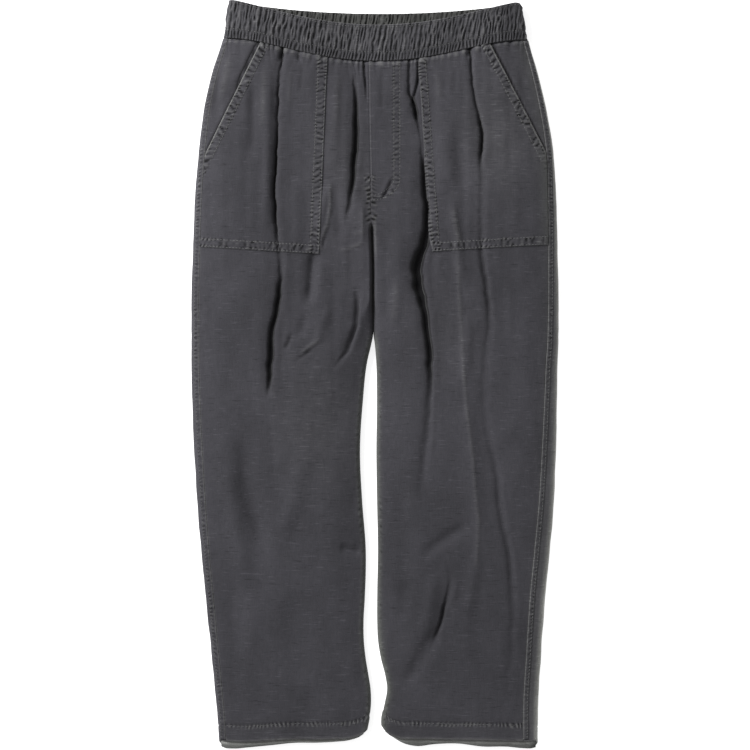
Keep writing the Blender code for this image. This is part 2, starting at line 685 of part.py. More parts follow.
def keep_side(sheet, x0, y0, x1, y1, inside):
    """Cuts the sheet by the upright plane through two points and keeps the side of a third."""
    nx, ny = y1 - y0, x0 - x1
    if nx * (inside[0] - x0) + ny * (inside[1] - y0) > 0:
        nx, ny = -nx, -ny
    bmesh.ops.bisect_plane(
        sheet,
        geom=sheet.verts[:] + sheet.edges[:] + sheet.faces[:],
        plane_co=(x0 * MM, y0 * MM, 0.0),
        plane_no=(nx, ny, 0.0),
        dist=1e-6,
        clear_outer=True,
    )


def laid_on(name, sheet, lift, thickness, colour):
    """A closed piece lying on a panel, made from the panel's own points moved up."""
    bmesh.ops.triangulate(sheet, faces=sheet.faces[:])
    bmesh.ops.recalc_face_normals(sheet, faces=sheet.faces[:])
    if sum(f.normal.z for f in sheet.faces) < 0:
        bmesh.ops.reverse_faces(sheet, faces=sheet.faces[:])
    bmesh.ops.translate(sheet, verts=sheet.verts[:], vec=(0.0, 0.0, lift * MM))
    upper = bmesh.ops.duplicate(sheet, geom=sheet.verts[:] + sheet.edges[:] + sheet.faces[:])
    twin = upper["vert_map"]
    top_faces = [g for g in upper["geom"] if isinstance(g, bmesh.types.BMFace)]
    top_verts = [g for g in upper["geom"] if isinstance(g, bmesh.types.BMVert)]
    bmesh.ops.translate(sheet, verts=top_verts, vec=(0.0, 0.0, thickness * MM))
    tops = set(top_faces)
    low_faces = [f for f in sheet.faces if f not in tops]
    border = [e for f in low_faces for e in f.edges if e.is_boundary]
    for e in set(border):
        a, b = e.verts
        sheet.faces.new([a, b, twin[b], twin[a]])
    bmesh.ops.recalc_face_normals(sheet, faces=sheet.faces[:])
    mesh = bpy.data.meshes.new(name)
    sheet.to_mesh(mesh)
    sheet.free()
    return add_object(name, faced_out(mesh), colour)


def pocket_sheet(leg):
    sheet = sheet_mesh(front_grid(leg, 0.0))
    inside = (outward(leg) * POCKET_MIDDLE_X, POCKET_MIDDLE_Y)
    for row in POCKET_EDGES:
        if row[0] == leg:
            keep_side(sheet, *row[2:], inside)
    return sheet


def pocket(leg, colours):
    """A patch pocket, and the turned hem along its slanted mouth."""
    laid_on(f"pocket_{leg}", pocket_sheet(leg), POCKET_LIFT, POCKET_CLOTH, colours["patch"])
    x0, y0, x1, y1 = next(r[2:] for r in POCKET_EDGES if r[:2] == (leg, "mouth"))
    length = math.hypot(x1 - x0, y1 - y0)
    nx, ny = outward(leg) * abs(y1 - y0) / length, abs(x1 - x0) / length
    on_mouth = (x0, y0)
    x0, x1 = x0 - MOUTH_HEM_WIDTH * nx, x1 - MOUTH_HEM_WIDTH * nx
    y0, y1 = y0 - MOUTH_HEM_WIDTH * ny, y1 - MOUTH_HEM_WIDTH * ny
    strip = pocket_sheet(leg)
    keep_side(strip, x0, y0, x1, y1, on_mouth)
    lift = POCKET_LIFT + POCKET_CLOTH + SEAM_GAP
    laid_on(f"pocket_mouth_hem_{leg}", strip, lift, MOUTH_HEM_RISE, colours["patch"])


def fly(colours):
    """The fly's upper layer: it lies right of the centre seam and curves in to it below."""
    sheet = sheet_mesh(front_grid("right", 0.0))
    edge = edge_x("right", "inner", FLY_STRAIGHT_TO_Y) + FLY_WIDTH
    centre = edge_x("right", "inner", FLY_END_Y)
    inside = (mix(centre, edge, 0.5), TOP_GUESS)
    keep_side(sheet, edge, TOP_GUESS, edge, FLY_STRAIGHT_TO_Y, inside)
    bend_x = mix(edge, centre, FLY_BEND_ACROSS)
    bend_y = mix(FLY_STRAIGHT_TO_Y, FLY_END_Y, FLY_BEND_DOWN)
    keep_side(sheet, edge, FLY_STRAIGHT_TO_Y, bend_x, bend_y, inside)
    keep_side(sheet, bend_x, bend_y, centre, FLY_END_Y, inside)
    laid_on("fly", sheet, POCKET_LIFT, FLY_CLOTH, colours["patch"])


def build():
    for old in list(bpy.data.objects):
        bpy.data.objects.remove(old)
    colours = {name: material(name, rgba) for name, rgba in COLOURS.items()}
    for leg in ("left", "right"):
        wall(f"front_{leg}", front_grid(leg, 0.0), front_grid(leg, CLOTH), colours["cloth"])
        wall(f"back_{leg}", back_grid(leg, 0.0), back_grid(leg, CLOTH), colours["cloth"])
        wall(f"hem_front_{leg}", *hem_grids(front_grid, leg), colours["cloth"])
        wall(f"hem_back_{leg}", *hem_grids(back_grid, leg), colours["cloth"])
        pocket(leg, colours)
    fly(colours)
    for face in ("front", "back"):
        band_half(face, colours["band"])


build()
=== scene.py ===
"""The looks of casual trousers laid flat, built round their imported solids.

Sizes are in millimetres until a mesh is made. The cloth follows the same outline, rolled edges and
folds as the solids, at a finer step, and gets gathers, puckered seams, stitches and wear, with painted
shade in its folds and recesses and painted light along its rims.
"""

import math

import bpy
import numpy as np
from mathutils.bvhtree import BVHTree
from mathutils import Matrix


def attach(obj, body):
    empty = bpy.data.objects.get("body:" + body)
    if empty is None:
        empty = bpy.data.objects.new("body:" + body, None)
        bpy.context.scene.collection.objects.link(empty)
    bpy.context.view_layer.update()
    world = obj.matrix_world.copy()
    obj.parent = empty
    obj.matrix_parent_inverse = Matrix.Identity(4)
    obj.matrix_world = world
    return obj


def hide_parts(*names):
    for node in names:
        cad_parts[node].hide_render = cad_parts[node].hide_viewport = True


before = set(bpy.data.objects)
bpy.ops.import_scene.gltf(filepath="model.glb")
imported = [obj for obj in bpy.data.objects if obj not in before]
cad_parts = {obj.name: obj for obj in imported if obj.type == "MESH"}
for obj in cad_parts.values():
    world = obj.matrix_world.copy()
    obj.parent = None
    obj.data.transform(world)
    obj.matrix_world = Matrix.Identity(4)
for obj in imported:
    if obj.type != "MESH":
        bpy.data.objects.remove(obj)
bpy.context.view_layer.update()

MM = 0.001

# Sizes shared with the solids
CLOTH = 1.2
SEAM_GAP = 0.3
CROTCH_Y = 198.0
FORK_RUN = 9.0
DOME_RUN = 62.0
BAND_WALL = 3.0
BAND_ROLL = 8.6
BAND_CREST = 27.0
BAND_HEIGHT = 53.0
BAND_STEPS = 726
BAND_STITCH = 0.25
BAND_TOP_STITCH = 0.93
BAND_CORNER_FROM = 0.84
BAND_CORNER_CUT = 6.5
FLY_WIDTH = 43.0
FLY_STRAIGHT_TO_Y = 268.0
FLY_END_Y = 236.0
FLY_STRAIGHT = 0.72
FLY_ROWS_IN = (2.8, 10.8)
HEM_DEPTH = 22.0
HEM_PRESS = 0.85
HEM_PRESS_FROM = -466.0
BACK_HEM_LIFT = 5.0
EDGE_RADIUS = 1.35
PANEL_LENGTH = 958.0

# Where the search for a panel's two ends starts, and the height at which a hem's row is measured
TOP_GUESS = 450.0
END_GUESS = -500.0
HEM_ROW_Y = -470.0

OUTLINE_COLUMNS = ("y", "left_outer", "left_inner", "right_inner", "right_outer", "loft", "roll")
OUTLINE = (
    (462, -208, -8.9, -9.1, 209.5, 24.5, 6.6), (432, -218.2, -8.8, -9, 218.2, 24.8, 6.5),
    (378, -232, -8.3, -8.5, 232, 25, 6.3), (309, -241.5, -7.1, -7.3, 244.3, 25, 6.1),
    (240, -247, -5.4, -5.6, 248.5, 25, 6), (197, -249, -4.1, -4.5, 250.2, 24.5, 6),
    (149, -250.8, -2.6, -3, 251.2, 24, 6), (103, -252, -2.5, -2.9, 252, 23.5, 6),
    (64, -252, -2, -2.4, 252, 22.9, 6), (54, -252, -2.7, -1.9, 251.9, 22.7, 6),
    (44, -252, -4.7, -0.5, 251.8, 22.4, 6), (19, -252, -10.5, 1.6, 250.6, 22, 6),
    (-35, -251, -16.5, 2.6, 249.8, 21, 6), (-104, -248.3, -20.5, 1.8, 248.4, 20, 6),
    (-172, -244.2, -17.6, 2.7, 245.7, 19, 5.8), (-240, -238.8, -12.6, 4, 240.2, 18, 5.6),
    (-308, -232, -14, 2.9, 233.4, 17.2, 5.4), (-336, -229.2, -15.6, 2.9, 231.2, 16.9, 5.3),
    (-365, -226.3, -15.2, 4.2, 229.2, 16.6, 5.2), (-391, -223.6, -12.4, 8.6, 227.6, 16.2, 5.2),
    (-412, -221.6, -8.9, 14, 226, 16, 5.2), (-431, -219.8, -6, 16.6, 224.8, 15.8, 5.2),
    (-450, -217.8, -5.4, 13.4, 224, 15.5, 5.2), (-472, -216, -7.8, 8.8, 223.8, 15, 5.2),
    (-490, -215.2, -11.4, 9.8, 223.8, 14.6, 5.2), (-512, -214, -16, 14, 223.8, 14.4, 5.2),
)

SEAM_INSET_COLUMNS = ("y", "left", "right")
SEAM_INSET = (
    (462, 8.6, 8.6), (388, 9, 9.5), (300, 9.8, 11), (150, 11, 14.5), (20, 11.6, 17), (-104, 12.6, 20.5),
    (-240, 12, 22.5), (-370, 11, 21.5), (-512, 10.4, 21),
)

HEM_COLUMNS = ("share", "left_front", "left_back", "right_front", "right_back")
HEM = (
    (0, -499, -506, -500.5, -508.5), (0.03, -501, -510.5, -501.5, -511.5),
    (0.1, -502.5, -512.5, -501.7, -512), (0.2, -503, -511, -501.3, -510),
    (0.36, -501, -508, -500.6, -509.8), (0.52, -499.3, -504.8, -500, -505.7),
    (0.68, -499.8, -504.6, -499.2, -506.6), (0.8, -499, -503.4, -498.6, -509),
    (0.9, -497.5, -501, -497.5, -502.5), (0.94, -495, -498.5, -494.2, -496.5),
    (0.97, -492.6, -494.6, -490.5, -491.8), (1, -487.4, -487.6, -481.5, -481.8),
)

BAND_COLUMNS = ("share", "left_x", "right_x", "left_y", "right_y", "front_dip", "back_dip")
BAND = (
    (0, -208, 209.5, 461, 458.5, 31.5, 14), (0.5, -204.5, 205.7, 487.5, 485, 33.2, 15.2),
    (1, -200, 201, 514, 511.5, 35, 16.5),
)
BAND_DIP_POWERS = {"front": (1.9, 1.25), "back": (0.9, 0.9)}

DEEP_COLUMNS = ("y", "x", "depth", "bank")
DEEP_FOLDS = {
    ("left", "a"): (
        (450, -126, 5, 4), (432, -125.5, 6, 4), (412, -130, 3, 5), (388, -131, 5.5, 5), (345, -132, 5, 6),
        (310, -133.5, 7.5, 6), (262, -135.5, 9, 7), (197, -133, 6.5, 8), (162, -129, 3, 8),
        (140, -128, 4.6, 7), (101, -131.5, 8.8, 7.5), (52, -140, 9.6, 8), (5, -142.5, 8.4, 7.5),
        (-14, -144, 6, 7), (-30, -145.5, 0.8, 8), (-80, -142, 1, 12), (-150, -135, 0, 12),
        (-510, -135, 0, 12),
    ),
    ("left", "b"): (
        (450, -29, 0, 6), (410, -28.7, 0.8, 4), (388, -26.9, 5, 5), (350, -24.6, 9.5, 6),
        (306, -25.8, 10, 6), (262, -30, 8.5, 6), (232, -34, 4.5, 8), (205, -39, 1, 8), (150, -34, 0, 8),
        (122, -24.5, 0.8, 9), (104, -24, 3.6, 10), (72, -25, 5, 11), (46, -31.5, 4.8, 11),
        (33, -36.5, 3.8, 10), (21, -46, 2, 8), (8, -56, 0.2, 8), (-100, -62, 0, 9), (-510, -64, 0, 9),
    ),
    ("right", "a"): (
        (450, 46.5, 2.6, 3), (426, 46.5, 3.4, 3), (395, 46.6, 4.4, 3.4), (386, 47.6, 5.2, 3.6),
        (375, 51.8, 6.8, 4), (366, 55, 8.2, 4.3), (356, 57.4, 8.8, 4.5), (346, 59.1, 5, 4.5),
        (334, 61.3, 2.6, 5), (312, 64, 2, 6), (297, 65.5, 4.2, 7), (280, 67.5, 8, 8), (262, 70, 10, 9),
        (205, 73, 12, 10), (180, 70.5, 13, 13), (150, 60.5, 15.5, 12), (128, 61, 14.5, 11),
        (100, 67, 13, 10), (52, 74.5, 10.5, 9), (10, 76.5, 7.6, 10), (-25, 76.5, 4.8, 12),
        (-50, 75, 3.8, 14), (-80, 71.5, 3.4, 15), (-117, 68, 2.6, 15), (-165, 64, 0.8, 14),
        (-230, 84, 0.3, 12), (-275, 103, 1.2, 8), (-305, 98.5, 3.8, 6), (-328, 93.5, 5.4, 5.5),
        (-352, 86.5, 4.2, 6.5), (-368, 80, 1, 9), (-390, 70, 0, 11), (-450, 50, 0, 10), (-510, 50, 0, 10),
    ),
    ("right", "b"): (
        (455, 131, 4, 5), (430, 132.3, 5.5, 5), (377, 136.5, 5, 6), (346, 145.5, 7.5, 8),
        (328, 148, 8.5, 8), (302, 146.5, 7, 8), (285, 145.8, 3.5, 9), (230, 145.5, 2.5, 11),
        (170, 146, 3.5, 11), (115, 154, 4.5, 10), (66, 156, 2.4, 10), (0, 150, 1.3, 12),
        (-76, 153, 1.6, 13), (-126, 165, 2.4, 12), (-192, 173, 3.2, 11), (-254, 185, 3.4, 11),
        (-310, 188, 2, 12), (-379, 187, 1.5, 13), (-440, 180, 0.2, 13), (-510, 168, 0, 13),
    ),
}
LIP = 1.9
LIP_LAP = 0.2
LOWEST_TOP = 7.0
SOFT_GAIN = 1.7

# Soft folds of each leg: x and y of the first and last point, bow, width and rise
SOFT_FOLDS = {
    "left": (
        (-146, 430, -146.5, 190, 0, 7, 2), (-166, 410, -170, 285, 2, 7.5, -1.9),
        (-107, 270, -106, 165, 0, 9, 1.2), (-58, 425, -60, 250, 3, 11, 1.8),
        (-62, 265, -74, 175, -4, 6, 1.6), (-83.5, 176, -89.5, 92, 0, 6.5, -4.2),
        (-74, 165, -76, 55, 0, 14, 1.8), (-64, 96, -80, 40, 0, 7, 1.2), (-90, 86, -106, 46, 0, 8, -1.3),
        (-183, -70, -141, -262, -9, 13, -3), (-203, -100, -162, -300, -8, 13, 1.8),
        (-93, -80, -136, -230, 8, 13, 1.6), (-50, -233, -16, -243, -2, 6, -2),
        (-196, -260, -190, -460, 0, 14, -1.3), (-110, -290, -100, -430, 0, 20, -1.6),
        (-18, 245, -15.5, 174, 0, 5.5, 1.2), (-53, 268, -47, 172, 0, 8.5, -1.7),
    ),
    "right": (
        (92, 410, 100, 240, 0, 13, 1.8), (104, 250, 124, 112, -2, 7, 1.8),
        (114, 330, 126, 200, 0, 11, -1.3), (36, 260, 28, 120, 0, 13, 1.4), (164, 400, 176, 300, 0, 15, 1.2),
        (128, 90, 122, -20, 0, 8, 1.4), (128, 10, 150, -255, -6, 11, 1.3),
        (139, -235, 124, -340, 2, 9, 1.3), (130, -204, 60, -252, -3, 8, -1.8),
        (82, -266, 66, -366, 0, 9, 1.6), (42, -280, 36, -340, 0, 9, -1.3),
        (107, -270, 108, -360, 0, 9, 1.2), (86, -345, 38, -432, 0, 10, -2),
        (116, -290, 130, -400, 0, 14, 1.2), (30, -120, 40, -330, 4, 14, -1.3),
    ),
}
SOFT_FADE = 0.28

UNDER_FOLDS = {
    "left": (
        (-170, 380, -150, 120, 6, 12, 1.5), (-80, 170, -140, -10, -8, 13, 1.6),
        (-110, -120, -130, -330, 5, 14, 1.4),
    ),
    "right": (
        (120, 370, 90, 180, 8, 12, 1.6), (160, 90, 110, -90, -8, 13, 1.6),
        (120, -180, 140, -400, 5, 14, 1.4),
    ),
}

# Narrow creases, with the same columns
CREASES = {
    "left": (
        (-61.6, 266, -62, 212, 0.5, 2.5, 1.4), (-61.8, 232, -68, 194, 1, 2.5, 1.4),
        (-65.5, 208, -75, 164, -1.5, 2.6, 1.5), (-69, 190, -72, 172, 0, 2.2, -2),
        (-54, 170, -14, 184, -3.5, 2.2, 1.6), (-17, 232, -17.5, 180, 0, 2.6, 0.8),
        (-31, 192, -16, 196, -1, 2.4, 0.8), (-72, 51, -105, 25, -1, 2.6, 2),
        (-84, 35, -108, 20, -1, 3.2, -1.7), (-112, 58, -124, 33, 0, 3, -2),
        (-214, 420, -222, 350, 0, 5, -1), (-198, 446, -212, 372, 1, 6, 1.2),
        (-186, 410, -200, 372, 0, 5, -1.2), (-150, 430, -154, 330, 0, 4, 0.9),
        (-116, 420, -118, 360, 0, 3.5, 0.6), (-98, 430, -103, 380, 0, 3, -0.9),
        (-50, 420, -53, 330, 0, 4.5, 0.9),
    ),
    "right": (
        (20, 272, 5, 239, 1.5, 3, 1), (24.5, 271, 7.5, 237, 1.5, 2.2, -2.2),
        (61, 424, 47, 360, 2.5, 1.7, -3.8), (30, 140, 24, 60, 0, 6, 0.9), (105, 235, 116, 170, 0, 3.5, 1.2),
        (112, 182, 119, 50, -1, 3.2, 1.1), (117, 80, 122, -22, 0, 3, 1), (120, 16, 127, -70, 0, 3, 1),
        (124, -38, 136, -135, 0, 3.2, 1.1), (133, -105, 142.5, -212, -1, 3.2, 1.1),
        (142, -180, 138, -275, 0, 3.4, 1), (9.5, 425, 9.5, 352, 0, 3.5, -1.1),
        (84, 420, 88, 370, 0, 4, 0.7), (110, 424, 108, 380, 0, 4, -0.8), (196, 420, 214, 350, 0, 5, -0.9),
    ),
}

# Small tucks that start under the band: where, how far they run down, how they lean, width and depth
TUCKS = {
    "left": (
        (-189, 8, 0.05, 1.6, 0.9), (-174, 10, 0, 1.8, 1), (-158, 6, 0.3, 1.6, 1.2),
        (-136.5, 9, -0.1, 1.7, 1.4), (-125, 26, -0.25, 2.2, 4), (-103.5, 20, 0, 2, 3.4),
        (-88, 9, 0.1, 1.8, 1), (-75, 7, 0.05, 1.5, 0.8), (-44, 9, 0.1, 1.6, 1.3), (-27, 10, 0, 1.5, 1.3),
        (-15, 62, 0.08, 1.3, 3.8),
    ),
    "right": (
        (24, 8, 0, 1.6, 0.9), (60.5, 50, -0.05, 1.2, 3.6), (78, 8, 0.1, 1.6, 1), (99, 9, 0, 1.7, 1.1),
        (112, 7, 0.15, 1.6, 0.9), (129.5, 14, 0, 2.6, 3.4), (158, 8, -0.1, 1.6, 1.2), (186, 9, 0, 1.8, 1.3),
    ),
}

# x and y of the first and last point of each pocket edge
POCKET_EDGES = {
    ("left", "mouth"): (-158, 451, -228.2, 310.5),
    ("left", "inside"): (-64, 435, -75.5, 165),
    ("left", "bottom"): (-238, 174.5, -75.5, 164.5),
    ("right", "mouth"): (165.5, 436.5, 231, 310.5),
    ("right", "inside"): (58, 435, 78, 168),
    ("right", "bottom"): (78, 168, 236, 177.5),
}
POCKET_ROW_IN = 1.8
LAP_WIDTH = 7.8
# How much paler each leg's rims are painted: painted reflected light on the right leg, whose edges face away
# from the lamp.
PAINTED_RIM_LIGHT = {"left": 0.0, "right": 1.0}
LAP_ROW = 5.6
UNDER_BAND = 7.0

# Places left darker or paler by the wash: middle, reach and amount
WASH = (
    (-150, 330, 60, 0.13), (-130, 235, 50, 0.09), (-150, 100, 70, 0.1), (50, -250, 75, 0.2),
    (165, -330, 60, 0.1),
)
FADES = (
    (-82, -75, 55, 0.22), (170, 330, 50, 0.22), (-40, 290, 40, 0.18), (95, 60, 40, 0.1),
)

# Stitches
STITCH_PITCH = 4.5
HEM_PITCH = 5.6
STITCH_LENGTH = 2.9
THREAD_RADIUS = 0.34

# Pitch of the puckers along the hems, the stitch rows and the pockets' edges
HEM_PUCKER = 5.6
ROW_PUCKER = 5.0
POCKET_PUCKER = 8.4

NOISE_TABLE = np.random.default_rng(20).uniform(-1.0, 1.0, (64, 64))


class Curves:
    """A table read as smooth curves, each named column against the first one."""

    def __init__(self, columns, rows):
        data = np.array(sorted(rows), float)
        self.at = data[:, 0]
        self.columns = dict(zip(columns[1:], data[:, 1:].T))

    def __call__(self, name, where):
        x, v = self.at, self.columns[name]
        slope = np.gradient(v, x)
        t = np.clip(where, x[0], x[-1])
        i = np.clip(np.searchsorted(x, t, side="right") - 1, 0, len(x) - 2)
        run = x[i + 1] - x[i]
        s = (t - x[i]) / run
        return (
            v[i] * (1 + 2 * s) * (1 - s) ** 2
            + v[i + 1] * s * s * (3 - 2 * s)
            + run * slope[i] * s * (1 - s) ** 2
            - run * slope[i + 1] * s * s * (1 - s)
        )


outline = Curves(OUTLINE_COLUMNS, OUTLINE)
seam_inset = Curves(SEAM_INSET_COLUMNS, SEAM_INSET)
hem = Curves(HEM_COLUMNS, HEM)
band = Curves(BAND_COLUMNS, BAND)
deep = {key: Curves(DEEP_COLUMNS, rows) for key, rows in DEEP_FOLDS.items()}


def ease(t):
    """Nought below 0, one above 1, and a smooth step between."""
    t = np.clip(t, 0.0, 1.0)
    return t * t * (3 - 2 * t)


def mix(a, b, share):
    return a + (b - a) * share


def bell(x, width):
    return np.exp(-((x / width) ** 2))


def noise(x, y, layer=0):
    """Smooth noise between -1 and 1, with a cell of one unit."""
    x, y = np.broadcast_arrays(np.asarray(x, float), np.asarray(y, float))
    i, j = np.floor(x).astype(int), np.floor(y).astype(int)
    u, v = ease(x - i), ease(y - j)
    i, j = i + 17 * layer, j + 29 * layer

    def at(a, b):
        return NOISE_TABLE[a % 64, b % 64]

    return mix(mix(at(i, j), at(i + 1, j), u), mix(at(i, j + 1), at(i + 1, j + 1), u), v)


def outward(leg):
    return -1.0 if leg == "left" else 1.0


def edge_x(leg, which, y):
    return outline(f"{leg}_{which}", y)


def seam_x(leg, y):
    return edge_x(leg, "outer", y) - outward(leg) * seam_inset(leg, y)


def band_edge_y(face, x, share):
    """y of the band's front or back at x, at a share of its height from its lower edge."""
    left, right = band("left_x", share), band("right_x", share)
    along = np.clip((x - left) / (right - left), 0.0, 1.0)
    level = mix(band("left_y", share), band("right_y", share), along)
    across = 1 - (2 * along - 1) ** 2
    power = mix(*BAND_DIP_POWERS[face], share)
    return level - band(f"{face}_dip", share) * across**power


def hem_edge_y(leg, face, x, y):
    outer, inner = edge_x(leg, "outer", y), edge_x(leg, "inner", y)
    return hem(f"{leg}_{face}", np.clip((x - outer) / (inner - outer), 0.0, 1.0))


def fork(y):
    """One at the crotch and below, fading to nought above it."""
    return ease((CROTCH_Y + FORK_RUN - y) / FORK_RUN)


def line_places(x, y, x0, y0, x1, y1):
    """Distance along a straight line from its first point, and to its left."""
    length = math.hypot(x1 - x0, y1 - y0)
    ex, ey = (x1 - x0) / length, (y1 - y0) / length
    return (x - x0) * ex + (y - y0) * ey, (x - x0) * -ey + (y - y0) * ex


def soft_folds(table, leg, x, y):
    """Sum of the soft folds of one leg at x, y."""
    total = np.zeros(np.broadcast(x, y).shape)
    for x0, y0, x1, y1, bow, width, rise in table[leg]:
        along, across = line_places(x, y, x0, y0, x1, y1)
        along = along / math.hypot(x1 - x0, y1 - y0)
        across = across - bow * 4 * along * (1 - along)
        fade = ease(along / SOFT_FADE) * ease((1 - along) / SOFT_FADE)
        total = total + rise * fade * bell(across, width)
    return total


def deep_folds(leg, x, y):
    """Rise of the cloth at the deep folds, and how far their lips are pulled over the troughs."""
    rise = np.zeros(np.broadcast(x, y).shape)
    pull = np.zeros(rise.shape)
    for layer, name in enumerate("ab"):
        fold = deep[(leg, name)]
        wander = 0.9 * noise(y / 11, 0 * y, 3 + layer) + 0.4 * noise(y / 4.5, 0 * y, 5 + layer)
        depth = np.maximum(fold("depth", y), 0.0) * (1 + 0.12 * noise(y / 17, 0 * y, 7 + layer))
        floor = np.clip(0.22 * depth, 0.3, 2.8) + 0.9 * np.maximum(depth - 12.5, 0.0)
        lip = LIP * (1 + 3.0 * (1 - ease(depth / 5.5)))
        across = x - fold("x", y) - wander
        left, right = across + floor, across - 0.8 * floor
        bank = fold("bank", y) * 1.3
        slope = 0.3 * bell(left, bank) + 0.7 * bell(left, 0.3 * bank)
        share = np.where(left < 0, slope, np.where(right > 0, bell(right, lip), 1.0))
        rise = rise - depth * share + 0.07 * depth * bell(right - 6, 4.5)
        pull = pull - LIP_LAP * depth * bell(right - 2.4, 2.6)
    return rise, pull


def crest(y):
    """How far the leg's middle rises over its rolled edges: the hem is pressed flatter."""
    pressed = 1 - HEM_PRESS * ease((HEM_PRESS_FROM - y) / 36.0)
    return (outline("loft", y) - 2 * outline("roll", y)) * pressed


def rise_from_edge(distance):
    """The share of the leg's height reached at a distance from its edge."""
    return 1 - (1 - np.clip(distance / DOME_RUN, 0.0, 1.0)) ** 2


def pucker(along, across, width, pitch, layer):
    """Uneven slanting ridges across a stitch row, with narrow hollows between them."""
    slant = 0.7 * noise(along / 27, 0 * across, layer)
    phase = (along + slant * across) / pitch + 0.6 * noise(along / 15, 0 * across, layer + 4)
    strength = np.clip(0.8 + 0.9 * noise(along / 9, 0 * across, layer + 2), 0.25, 1.4)
    wave = np.sin(2 * math.pi * phase)
    wave = np.where(wave < 0, -np.abs(wave) ** 2.2, np.abs(wave) ** 1.3)
    return wave * strength * bell(across, width)


def pocket_side(leg, edge):
    """On which side of a pocket's edge the pocket lies: 1 is left of the line."""
    return np.sign(line_places(outward(leg) * 150.0, 220.0, *POCKET_EDGES[leg, edge])[1])


def within(leg, edge, x, y):
    """Distance in from a pocket's edge, and the distance along it."""
    along, across = line_places(x, y, *POCKET_EDGES[leg, edge])
    return across * pocket_side(leg, edge), along


def pocket_groove(leg, x, y):
    """One just outside a pocket's edge, fading away from it, and stronger along the mouth."""
    edges = {edge: within(leg, edge, x, y)[0] for edge in ("mouth", "inside", "bottom")}
    seam = (seam_x(leg, y) - x) * outward(leg)
    inside = np.minimum.reduce([*edges.values(), seam])
    near_mouth = (inside > edges["mouth"] - 0.01) * (seam > 0)
    wide = 1 + (1.2 if leg == "left" else 0.4) * ease((y - 385) / 25)
    return bell(inside + wide, 1.3 * wide) * (inside < 0.3) * mix(0.12, wide, near_mouth)


def pillows(x, y):
    """The cloth's rounded gathers where the elastic pulls it in."""
    return np.abs(np.sin(math.pi * (x / 9.4 + 0.9 * noise(x / 15, y / 50, 13)))) ** 0.6


def below_band(x, y):
    return band_edge_y("front", x, 0.0) - y


def fine_relief(leg, x, y):
    """Small wrinkles, and the gathers and tucks under the band."""
    below = below_band(x, y)
    rise = 0.45 * noise(x / 17, y / 30, 10) + 0.16 * noise(x / 6, y / 10, 11)
    rise = rise + 0.50 * noise(x / 8, y / 75, 12) * ease((620 - below) / 400)
    size = 1.0 + 0.7 * noise(x / 21, 0 * y, 14)
    near = np.exp(-np.maximum(below, 0) / 10.0) * ease((below + 3.0) / 3.0)
    rise = rise + 2.6 * size * (pillows(x, y) - 0.75) * near
    return rise + 0.9 * bell(below - 4.5, 3.4) - tucks(leg, x, below)


def tucks(leg, x, below):
    """How deep the small tucks under the band are."""
    total = 0 * (x + below)
    for at, run, lean, width, depth in TUCKS[leg]:
        across = x - at - lean * below
        narrow = np.where(across < 0, width * 1.5, width * 0.8)
        total = total + depth * bell(across, narrow) * ease(1.7 - 1.7 * below / run)
    return total


def tucked(below):
    """How far the panels sink at the band's lower edge."""
    return 2.4 * ease((4.5 - below) / 5.0) - 1.3 * ease(-below / 2.5)


def band_height(d, nz):
    """The height of the band's front, by the distance from its end and the slope there."""
    return BAND_ROLL * (1 + nz) + (BAND_CREST - 2 * BAND_ROLL) * rise_from_edge(d) * nz


def band_level(x):
    """The height of the band's front over the table along its lower edge."""
    d = np.clip(np.minimum(x - band("left_x", 0.05), band("right_x", 0.05) - x), 0.0, None)
    return band_height(d, np.sin(np.arccos(1 - np.clip(d / BAND_ROLL, 0.0, 1.0))))


def front_surface(leg, girth, y):
    """Outer points of the front, at a girth from its inner end."""
    side, roll, w = outward(leg), outline("roll", y), fork(y)
    quarter = roll * math.pi / 2
    turn = np.clip(girth / roll, 0.0, math.pi / 2)
    d = roll * (1 - np.cos(turn)) + np.maximum(girth - quarter, 0.0)
    x = edge_x(leg, "inner", y) + side * d
    to_outer = np.abs(edge_x(leg, "outer", y) - x)
    full = mix(0.07, 1.0, ease((110.0 - y) / 90.0))
    dome = rise_from_edge(to_outer) * mix(1.0, rise_from_edge(d / full), w)
    flat = 2 * roll + crest(y) * dome
    near = ease(to_outer / (3 * roll)) * mix(1.0, ease(d / (3 * roll * full)), w)
    fold, pull = deep_folds(leg, x, y)
    below = below_band(x, y)
    shown = ease((below + 5.0) / 4.0)
    soft = SOFT_GAIN * soft_folds(SOFT_FOLDS, leg, x, y) + soft_folds(CREASES, leg, x, y)
    level = flat + near * shown * (fold + soft)
    level = np.maximum(level, np.minimum(flat, LOWEST_TOP))
    level = level + fine_relief(leg, x, y) - tucked(below)
    level = level - 0.5 * bell(girth, 2.6) * (1 - w)
    level = mix(level, np.maximum(level, band_level(x) - 3.0), ease((-below - 1.0) / 3.0))
    s = mix(1.0, np.sin(turn), w)
    z = 2 * roll - w * roll * (1 - np.sin(turn)) + (level - 2 * roll) * s
    return np.stack([x + near * pull * s, y + 0 * x, z], -1)


def girth_of(leg, x, y):
    roll = outline("roll", y)
    return np.abs(x - edge_x(leg, "inner", y)) - roll + roll * math.pi / 2


def spread(count, amount):
    """Shares from 0 to 1, closer together near both ends."""
    t = np.linspace(0.0, 1.0, count + 1)
    return t - amount * np.sin(2 * math.pi * t) / (2 * math.pi)


def grid_normals(points, toward=None):
    """Unit normals of a grid of points, on the side of the rough directions given, or above."""
    normal = np.cross(np.gradient(points, axis=0), np.gradient(points, axis=1))
    size = np.linalg.norm(normal, axis=-1, keepdims=True)
    normal = normal / np.maximum(size, 1e-9)
    middle = (points.shape[0] // 2, points.shape[1] // 2)
    way = (0.0, 0.0, 1.0) if toward is None else toward[middle]
    return normal * np.sign(np.dot(normal[middle], way))


